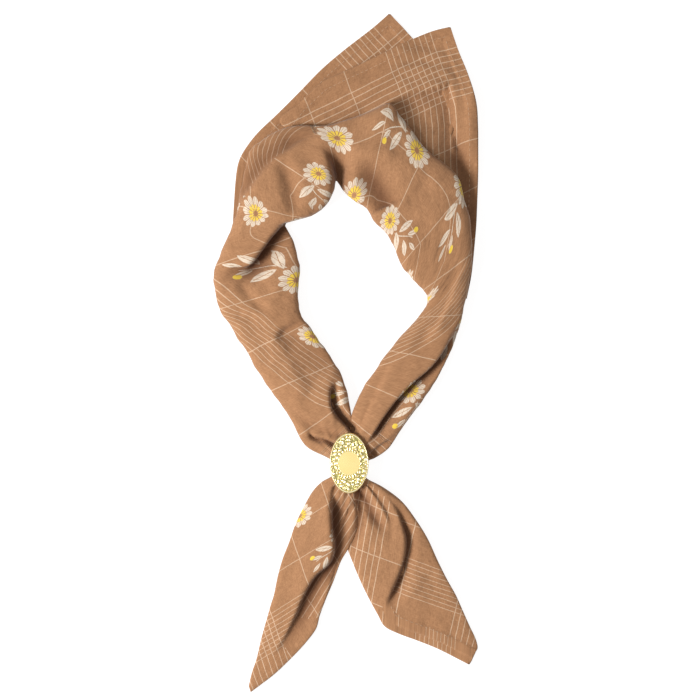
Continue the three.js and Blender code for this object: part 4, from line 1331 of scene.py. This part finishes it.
def motif(tree, across, down):
    """Cream, yellow and open parts of the print."""
    column = (across / REPEAT_ACROSS).math("FLOOR")
    half_drop = column.math("FLOORED_MODULO", 2.0) * (REPEAT_ALONG / 2)
    row = ((down + half_drop) / REPEAT_ALONG).math("FLOOR")
    middle_x = (column + 0.5) * REPEAT_ACROSS
    middle_y = (row + 0.5) * REPEAT_ALONG - half_drop
    chance = tree.nodes.new("ShaderNodeTexWhiteNoise")
    chance.noise_dimensions = "2D"
    connect(tree, joined(tree, column, row), chance.inputs["Vector"])
    drawn = Wire(tree, chance.outputs["Value"])
    angle = (drawn - 0.5) * CHANCE_TURN + column * COLUMN_TURN + row * ROW_TURN
    x, y = across - middle_x, down - middle_y
    cosine, sine = angle.math("COSINE"), angle.math("SINE")
    x, y = x * cosine + y * sine, y * cosine - x * sine
    x, y = x + MOTIF_SHIFT[0], y + MOTIF_SHIFT[1]
    petals, heart, ribs, ring = blossom(x + BLOSSOM_SHIFT[0], y + BLOSSOM_SHIFT[1])
    cream, open_lines = petals, ribs
    for place in LEAVES:
        inside, vein = leaf(x, y, place)
        cream = cream.math("MAXIMUM", inside)
        open_lines = open_lines.math("MAXIMUM", vein)
    bend = y + STEM_OFFSET + (x * STEM_WAVE).math("SINE") * STEM_RISE
    stem = bend.math("ABSOLUTE").below(STEM_HALF, STEM_EDGE)
    from_stem_middle = (x - (STEM_START + STEM_END) / 2).math("ABSOLUTE")
    stem = stem * from_stem_middle.below((STEM_END - STEM_START) / 2, 0.001)
    bud_x, bud_y = x + BUD_SHIFT[0], y + BUD_SHIFT[1]
    bud = (bud_x * bud_x + bud_y * bud_y).math("SQRT").below(BUD_RADIUS, PRINT_EDGE)
    cream = cream.math("MAXIMUM", stem).math("MAXIMUM", bud)
    yellow = (petals * heart).math("MAXIMUM", bud)
    open_lines = open_lines.math("MAXIMUM", ring)
    inner = (middle_x * -1.0).below(-MOTIF_FROM, 0.0001) * (middle_y * -1.0).below(-MOTIF_FROM, 0.0001)
    shown = inner * (open_lines * -1.0 + 1.0)
    return cream * shown, yellow * shown


GROUND_DARK = (0.185, 0.085, 0.037, 1)
GROUND_LIGHT = (0.400, 0.206, 0.100, 1)
GROUND_CLOUD = (0.235, 0.112, 0.050, 1)
# The colour of full painted shade in deep folds, and of none
PAINTED_FOLD_SHADE_COLOUR = (0.19, 0.090, 0.038, 1)
NO_PAINTED_SHADE = (1, 1, 1, 1)
LINE_COLOUR = (0.52, 0.375, 0.26, 1)
CREAM = (0.56, 0.475, 0.375, 1)
YELLOW = (0.62, 0.42, 0.014, 1)
# The woven threads: how often they change in a metre, across and along them
FINE_THREAD = (1700, 330)
THICK_THREAD = (1000, 220)
WEAVE_DEPTH = 0.00034
CREASE_DEPTH = 0.0011
# How far the printed shapes sway with the cloth, and how ragged their edges are
SWAY = 0.0012
JAG = 0.0003


def woven(tree, flat, thread):
    """Unrest along both directions of the threads."""
    close, wide = thread
    warp = noise(tree, stretched(tree, flat, (close, wide, 1)), 1.0, 1.0)
    weft = noise(tree, stretched(tree, flat, (wide, close, 1)), 1.0, 1.0)
    return warp + weft


def cloth_material():
    material, tree, shader = new_material("printed_cotton")
    cut = tree.nodes.new("ShaderNodeUVMap")
    cut.uv_map = "cut"
    flat = Wire(tree, cut.outputs["UV"])
    split = tree.nodes.new("ShaderNodeSeparateXYZ")
    connect(tree, flat, split.inputs[0])
    across, down = (Wire(tree, split.outputs[index]) for index in (0, 1))

    sway = (noise(tree, flat, 55, 1.0) - 0.5) * SWAY
    jag = (noise(tree, flat, 1500, 1.0) - 0.5) * JAG
    lines = printed_lines(across + sway).math("MAXIMUM", printed_lines(down + sway))
    cream, yellow = motif(tree, across + sway + jag, down - sway + jag)
    speck = noise(tree, flat, 1300, 1.0)
    slub = woven(tree, flat, FINE_THREAD) * 0.30 + woven(tree, flat, THICK_THREAD) * 0.12 + speck * 0.16
    cloud = noise(tree, flat, 22, 3.0)

    thread = within_one((slub - 0.5) * 2.3 + 0.5)
    ground = blend(tree, thread, GROUND_DARK, GROUND_LIGHT)
    ground = blend(tree, cloud * 0.45, ground, GROUND_CLOUD)
    # The print lies thinner on the dark threads
    worn = within_one((slub - 0.5) * 1.3 + 0.78)
    colour = blend(tree, lines * worn * 0.85, ground, LINE_COLOUR)
    colour = blend(tree, cream * (worn * 0.6 + 0.4), colour, CREAM)
    colour = blend(tree, yellow * (worn * 0.5 + 0.5), colour, YELLOW)
    # Painted shade: the colour is multiplied darker where the folds are deep
    painted_shade_factor = blend(tree, attribute(tree, "painted_fold_shade"), NO_PAINTED_SHADE, PAINTED_FOLD_SHADE_COLOUR)
    connect(tree, with_painted_shade(tree, colour, painted_shade_factor), shader.inputs["Base Color"])
    shader.inputs["Roughness"].default_value = 0.88
    shader.inputs["Specular IOR Level"].default_value = 0.25
    shader.inputs["Sheen Weight"].default_value = 0.22
    shader.inputs["Sheen Roughness"].default_value = 0.45
    creases = noise(tree, stretched(tree, flat, (120, 80, 1)), 1.0, 2.0)
    roughen(tree, shader, slub * WEAVE_DEPTH + creases * CREASE_DEPTH, 1.0, 1.0)
    return material


GOLD = (0.80, 0.62, 0.24, 1)
GOLD_PATCH = (0.84, 0.68, 0.30, 1)
# Pale lemon painted highlight on the high parts of the relief, and dark olive painted shade in the
# recesses
GOLD_PAINTED_HIGHLIGHT = (0.97, 0.95, 0.70, 1)
GOLD_PAINTED_SHADE = (0.31, 0.29, 0.10, 1)
# The share of recess from which the metal is rougher and darkened with painted shade, and the one under
# which it is lightened with a painted highlight
SHADE_AND_DULL_FROM = 0.56
HIGHLIGHT_UNDER = 0.40


def gold_material():
    material, tree, shader = new_material("pale_gold")
    at = place_on_object(tree)
    recess = attribute(tree, "recess")
    grain = noise(tree, at, 1400, 3.0)
    patches = noise(tree, at, 160, 2.0)
    # Painted shade: the recesses are darkened to olive, unevenly, and the metal is rougher there too
    painted_shade_and_dullness = within_one((recess - SHADE_AND_DULL_FROM) * 2.4 + (patches - 0.5) * 0.3)
    # Painted highlight: the high parts of the relief are lightened to pale lemon
    painted_highlight = (recess * -1.0 + HIGHLIGHT_UNDER).math("MULTIPLY", 4.0, clamp=True)
    colour = blend(tree, patches, GOLD, GOLD_PATCH)
    colour = blend(tree, painted_highlight, colour, GOLD_PAINTED_HIGHLIGHT)
    colour = blend(tree, painted_shade_and_dullness, colour, GOLD_PAINTED_SHADE)
    connect(tree, colour, shader.inputs["Base Color"])
    shader.inputs["Metallic"].default_value = 0.62
    connect(tree, grain * 0.14 + painted_shade_and_dullness * 0.20 + 0.20, shader.inputs["Roughness"])
    roughen(tree, shader, grain, 0.15, 0.0001)
    return material


# Stitches, made along the seams by Geometry Nodes
STITCH_PITCH = 0.0033
STITCH_LENGTH = 0.0023
STITCH_THICKNESS = 0.00034
THREAD_DARK = (0.30, 0.17, 0.10, 1)
THREAD_LIGHT = (0.50, 0.33, 0.21, 1)


def thread_material():
    material, tree, shader = new_material("sewing_thread")
    twist = noise(tree, stretched(tree, place_on_object(tree), (3000, 1200, 3000)), 1.0, 2.0)
    connect(tree, blend(tree, twist, THREAD_DARK, THREAD_LIGHT), shader.inputs["Base Color"])
    connect(tree, twist * 0.2 + 0.6, shader.inputs["Roughness"])
    roughen(tree, shader, twist, 0.5, 0.0001)
    return material


def stitch_tree(material):
    tree = bpy.data.node_groups.new("stitches_along_seams", "GeometryNodeTree")
    face = tree.interface
    face.new_socket("Geometry", in_out="INPUT", socket_type="NodeSocketGeometry")
    for name in ("Pitch", "Length", "Thickness"):
        face.new_socket(name, in_out="INPUT", socket_type="NodeSocketFloat")
    face.new_socket("Geometry", in_out="OUTPUT", socket_type="NodeSocketGeometry")
    add = tree.nodes.new
    given, made = add("NodeGroupInput"), add("NodeGroupOutput")
    curve = add("GeometryNodeMeshToCurve")
    places = add("GeometryNodeCurveToPoints")
    places.mode = "LENGTH"
    bead = add("GeometryNodeMeshUVSphere")
    bead.inputs["Segments"].default_value = 6
    bead.inputs["Rings"].default_value = 5
    bead.inputs["Radius"].default_value = 0.5
    size = add("ShaderNodeCombineXYZ")
    stretch = add("GeometryNodeTransform")
    put = add("GeometryNodeInstanceOnPoints")
    real = add("GeometryNodeRealizeInstances")
    paint = add("GeometryNodeSetMaterial")
    paint.inputs["Material"].default_value = material
    for source, given_as, target, taken_as in (
        (given, "Geometry", curve, "Mesh"),
        (curve, "Curve", places, "Curve"),
        (given, "Pitch", places, "Length"),
        (given, "Thickness", size, "X"),
        (given, "Thickness", size, "Y"),
        (given, "Length", size, "Z"),
        (bead, "Mesh", stretch, "Geometry"),
        (size, 0, stretch, "Scale"),
        (places, "Points", put, "Points"),
        (places, "Rotation", put, "Rotation"),
        (stretch, "Geometry", put, "Instance"),
        (put, "Instances", real, "Geometry"),
        (real, "Geometry", paint, "Geometry"),
        (paint, "Geometry", made, "Geometry"),
    ):
        tree.links.new(source.outputs[given_as], target.inputs[taken_as])
    return tree


def make_stitches(lines):
    points, edges = [], []
    for line in lines:
        edges += [(len(points) + index, len(points) + index + 1) for index in range(len(line) - 1)]
        points += [tuple(point) for point in line]
    path = bpy.data.meshes.new("seam_lines")
    path.from_pydata(points, edges, [])
    seams = add_object("seam_lines", path)
    modifier = seams.modifiers.new("stitches", "NODES")
    modifier.node_group = stitch_tree(thread_material())
    sizes = dict(Pitch=STITCH_PITCH, Length=STITCH_LENGTH, Thickness=STITCH_THICKNESS)
    for item in modifier.node_group.interface.items_tree:
        if item.in_out == "INPUT" and item.name in sizes:
            modifier[item.identifier] = sizes[item.name]
    graph = bpy.context.evaluated_depsgraph_get()
    mesh = bpy.data.meshes.new_from_object(seams.evaluated_get(graph))
    bpy.data.objects.remove(seams)
    mesh.name = "hem_stitches"
    mesh.polygons.foreach_set("use_smooth", np.ones(len(mesh.polygons), bool))
    return add_object("hem_stitches", mesh)


# The cast slide
RING_STEPS = 120
SECTOR_STEPS = 432
BACK_STEPS = 8
# Shares of the plate's half width and half length
MIDDLE_WIDE = 0.575
MIDDLE_LONG = 0.400
RIM_FROM = 0.915
RIM_TO = 0.950
TONGUES = 22
TONGUE_REACH = 0.30
# Heights of the parts of the relief, where the scrolls reach 1
MIDDLE_HEIGHT = 0.60
LIP_HEIGHT = 0.12
TONGUE_HEIGHT = 0.82
RIM_HEIGHT = 0.85
CURLS = 92
GOLDEN_TURN = 2.39996
CURL_STRAY = 0.25
CURL_GROOVE = 0.00090
CURL_PITCH = 0.0026
CURL_RADIUS = 0.0036
CURL_DEPTH = 0.50


def on_plate(share, angle):
    """Place on the plate, from its middle, at a share of its half sizes."""
    return PLATE_WIDTH / 2 * share * np.cos(angle), PLATE_LENGTH / 2 * share * np.sin(angle)


def curl_relief(x, y):
    """Small rounded scrolls set close together, each wound round its own middle."""
    number = np.arange(CURLS)
    reach = np.sqrt((number + 0.5) / CURLS)
    turn = GOLDEN_TURN * number + CURL_STRAY * np.sin(5 * reach + number)
    middle_x, middle_y = on_plate(reach, turn)
    away_x, away_y = x[..., None] - middle_x, y[..., None] - middle_y
    away = np.hypot(away_x, away_y)
    nearest = np.argmin(away, axis=-1)[..., None]
    two = np.partition(away, 1, axis=-1)[..., :2]
    groove = smooth(0, CURL_GROOVE, two[..., 1] - two[..., 0])
    near_x, near_y = (np.take_along_axis(part, nearest, -1)[..., 0] for part in (away_x, away_y))
    winding = (np.arctan2(near_y, near_x) * np.where(nearest[..., 0] % 2, 1, -1)
               + 2 * math.pi * two[..., 0] / CURL_PITCH)
    scroll = 0.5 + 0.5 * np.cos(winding)
    dome = np.sqrt(np.clip(1 - (two[..., 0] / CURL_RADIUS) ** 2, 0, 1))
    return np.clip(groove * (0.45 + 0.55 * dome) * (1 - CURL_DEPTH * power(scroll, 2)), 0, 1)


def ornament(share, angle):
    """Height of the plate's relief from 0 to 1: plain middle, tongues, scrolls, rim."""
    middle_edge = 1 / np.hypot(np.cos(angle) / MIDDLE_WIDE, np.sin(angle) / MIDDLE_LONG)
    uneven = 0.25 * np.sin(3 * angle + 0.7) + 0.15 * np.sin(7 * angle)
    wave = 0.5 + 0.5 * np.cos(TONGUES * angle + 2 * uneven)
    middle_edge = middle_edge * (1 + 0.05 * (wave - 0.5))
    out = (share - middle_edge) / (RIM_FROM - middle_edge)
    middle = smooth(0.035, -0.015, out)
    lip = bump_at(out, -0.02, 0.022)
    tongue_end = TONGUE_REACH * (0.85 + 0.3 * np.sin(5 * angle))
    reach = np.clip(out / tongue_end, 0, 1)
    tongue = np.sqrt(np.clip(1 - (1.7 * reach - 0.7) ** 2, 0, 1)) * power(wave, 0.45)
    tongue = tongue * smooth(0, 0.02, out) * smooth(1, 0.94, reach)
    in_scrolls = smooth(-0.02, 0.03, out - tongue_end) * smooth(1.01, 0.97, out)
    rim = smooth(RIM_FROM, RIM_TO, share) * np.sqrt(np.clip((1 - share) / (1 - RIM_TO), 0, 1))
    return np.clip(MIDDLE_HEIGHT * middle + LIP_HEIGHT * lip + TONGUE_HEIGHT * tongue * (1 - middle)
                   + curl_relief(*on_plate(share, angle)) * in_scrolls + RIM_HEIGHT * rim, 0, 1)


# The plate's edge turns down, and its back starts a little inside it
EDGE_FROM = 0.965
EDGE_TURN = 0.35
FIRST_RING = 0.008
BACK_RINGS = (0.99, 0.05)
# The recess of the parts without relief, which sets their painted shade, painted highlight and roughness
POLE_RECESS = 0.4
BACK_RECESS = 0.5
LOOP_RECESS = 0.3


def plate_mesh():
    """Rings of points from the middle over the rim to the middle of the back."""
    shares = np.concatenate([np.linspace(FIRST_RING, 1, RING_STEPS), np.linspace(*BACK_RINGS, BACK_STEPS)])
    front = (np.arange(len(shares)) < RING_STEPS)[:, None]
    angle = np.linspace(0, 2 * math.pi, SECTOR_STEPS, endpoint=False)
    share_grid, angle_grid = np.meshgrid(shares, angle, indexing="ij")
    x, y = on_plate(share_grid, angle_grid)
    relief = np.where(front, ornament(share_grid, angle_grid), 0)
    edge_turn = PLATE_THICKNESS * (1 - EDGE_TURN * smooth(EDGE_FROM, 1.0, share_grid))
    z = (PLATE_UNDERSIDE - PLATE_DOME * share_grid ** 2 + np.where(front, edge_turn, 0)
         + RELIEF_HEIGHT * relief)
    vertices = np.stack([x + PLATE_X, y + PLATE_Y, z], axis=-1).reshape(-1, 3)
    index = np.arange(len(vertices)).reshape(share_grid.shape)
    turned_on = np.roll(index, -1, axis=1)
    faces = np.stack([index[:-1], index[1:], turned_on[1:], turned_on[:-1]], axis=-1)
    faces = faces.reshape(-1, 4).tolist()
    front_pole, back_pole = len(vertices), len(vertices) + 1
    poles = [vertices[index[0]].mean(axis=0), vertices[index[-1]].mean(axis=0)]
    faces += [(front_pole, a, b) for a, b in zip(index[0].tolist(), turned_on[0].tolist())]
    faces += [(back_pole, b, a) for a, b in zip(index[-1].tolist(), turned_on[-1].tolist())]
    recess = np.where(front, 1 - relief, BACK_RECESS).ravel()
    return np.vstack([vertices, poles]), faces, np.concatenate([recess, [POLE_RECESS, BACK_RECESS]])


CHAMFER = 0.00025
CORNER_POINTS = 9


def loop_mesh(first):
    """The flat loop behind the plate: a band with eased edges round a rounded opening."""
    corner = LOOP_CORNER + LOOP_WALL / 2
    half_width = (LOOP_OPENING_WIDTH + LOOP_WALL) / 2 - corner
    half_height = (LOOP_OPENING_HEIGHT + LOOP_WALL) / 2 - corner
    middle_z = LOOP_WALL + LOOP_OPENING_HEIGHT / 2
    path = []
    for quarter, (side, up) in enumerate(((1, 1), (-1, 1), (-1, -1), (1, -1))):
        for angle in np.linspace(quarter, quarter + 1, CORNER_POINTS) * math.pi / 2:
            way = np.array([math.cos(angle), math.sin(angle)])
            path.append((np.array([side * half_width, up * half_height]) + corner * way, way))
    deep, thick = LOOP_DEPTH / 2, LOOP_WALL / 2
    section = [(-deep, thick - CHAMFER), (-deep + CHAMFER, thick), (deep - CHAMFER, thick),
               (deep, thick - CHAMFER), (deep, -thick + CHAMFER), (deep - CHAMFER, -thick),
               (-deep + CHAMFER, -thick), (-deep, -thick + CHAMFER)]
    vertices = []
    for place, way in path:
        for along, out in section:
            spot = place + out * way
            vertices.append((PLATE_X + spot[0], LOOP_Y + along, middle_z + spot[1]))
    count, around = len(path), len(section)
    faces = []
    for ring in range(count):
        for side in range(around):
            a = first + ring * around + side
            b = first + ring * around + (side + 1) % around
            c = first + (ring + 1) % count * around + (side + 1) % around
            d = first + (ring + 1) % count * around + side
            faces.append((a, d, c, b))
    return vertices, faces


def make_slide():
    vertices, faces, recess = plate_mesh()
    loop_vertices, loop_faces = loop_mesh(len(vertices))
    mesh = bpy.data.meshes.new("oval_slide")
    mesh.from_pydata(vertices.tolist() + loop_vertices, [], faces + loop_faces)
    mesh.update()
    smooth_faces = np.arange(len(mesh.polygons)) < len(faces)
    mesh.polygons.foreach_set("use_smooth", smooth_faces)
    point_values(mesh, "recess", np.concatenate([recess, np.full(len(loop_vertices), LOOP_RECESS)]))
    return add_object("oval_slide", mesh)


# Camera, floor and light
VIEW_WIDTH = 0.462
LENS = 100
SENSOR = 36
VIEW_X = PLATE_X + 0.0006
VIEW_Y = PLATE_Y + 0.0739


def make_camera():
    data = bpy.data.cameras.new("camera")
    data.lens = LENS
    data.sensor_width = SENSOR
    camera = add_object("camera", data)
    camera.location = (VIEW_X, VIEW_Y, VIEW_WIDTH * LENS / SENSOR)
    bpy.context.scene.camera = camera


# The floor is a lit white table, so shadows on it stay faint
FLOOR_SHADE = 0.24
FLOOR_GLOW = 0.88
FLOOR_REACH = 2.0
FLOOR_BELOW = 0.0002


def make_floor():
    corners = np.array([(-1, -1, 0), (1, -1, 0), (1, 1, 0), (-1, 1, 0)]) * FLOOR_REACH
    floor = mesh_object("floor", corners, np.array([[0, 1, 2, 3]]), smooth_shaded=False)
    floor.data.transform(Matrix.Translation((0, 0, -FLOOR_BELOW)))
    material, tree, shader = new_material("floor_white")
    shader.inputs["Base Color"].default_value = (FLOOR_SHADE, FLOOR_SHADE, FLOOR_SHADE, 1)
    shader.inputs["Roughness"].default_value = 1.0
    shader.inputs["Specular IOR Level"].default_value = 0.0
    shader.inputs["Emission Color"].default_value = (1, 1, 1, 1)
    shader.inputs["Emission Strength"].default_value = FLOOR_GLOW
    floor.data.materials.append(material)


# The lamp, and the light around: low all over, more in a ring half-way up, most in a card above
KEY_PLACE = (-1.22, -0.35, 1.10)
KEY_SIZE = 0.60
KEY_POWER = 48
SKY_LOW = 0.17
SKY_RING = 0.39
SKY_CARD = 0.85
CARD_EDGE = 0.93
CARD_SOFTNESS = 0.06


def make_light():
    """A soft lamp at the lower left, a ring of light half-way up, and a card straight above."""
    world = bpy.data.worlds.new("studio")
    bpy.context.scene.world = world
    world.use_nodes = True
    tree = world.node_tree
    place = tree.nodes.new("ShaderNodeTexCoord")
    split = tree.nodes.new("ShaderNodeSeparateXYZ")
    tree.links.new(place.outputs["Generated"], split.inputs[0])
    height = Wire(tree, split.outputs["Z"]).math("MAXIMUM", 0.0)
    ring = (height * height * math.pi).math("SINE") * SKY_RING
    card = (height * -1.0).below(-CARD_EDGE, CARD_SOFTNESS) * SKY_CARD
    connect(tree, ring + card + SKY_LOW, tree.nodes["Background"].inputs["Strength"])
    tree.nodes["Background"].inputs["Color"].default_value = (1, 1, 1, 1)
    data = bpy.data.lights.new("softbox", "AREA")
    data.shape = "SQUARE"
    data.size = KEY_SIZE
    data.energy = KEY_POWER
    lamp = add_object("softbox", data)
    lamp.location = KEY_PLACE
    lamp.rotation_euler = (-Vector(KEY_PLACE)).to_track_quat("-Z", "Y").to_euler()


bpy.context.scene.view_settings.view_transform = "Standard"
make_camera()
make_floor()
make_light()

kerchief, seam_lines = make_kerchief()
kerchief.data.materials.append(cloth_material())
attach(kerchief, "root")
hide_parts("kerchief")

stitches = make_stitches(seam_lines)
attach(stitches, "root")

slide = make_slide()
slide.data.materials.append(gold_material())
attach(slide, "root")
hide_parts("slide")
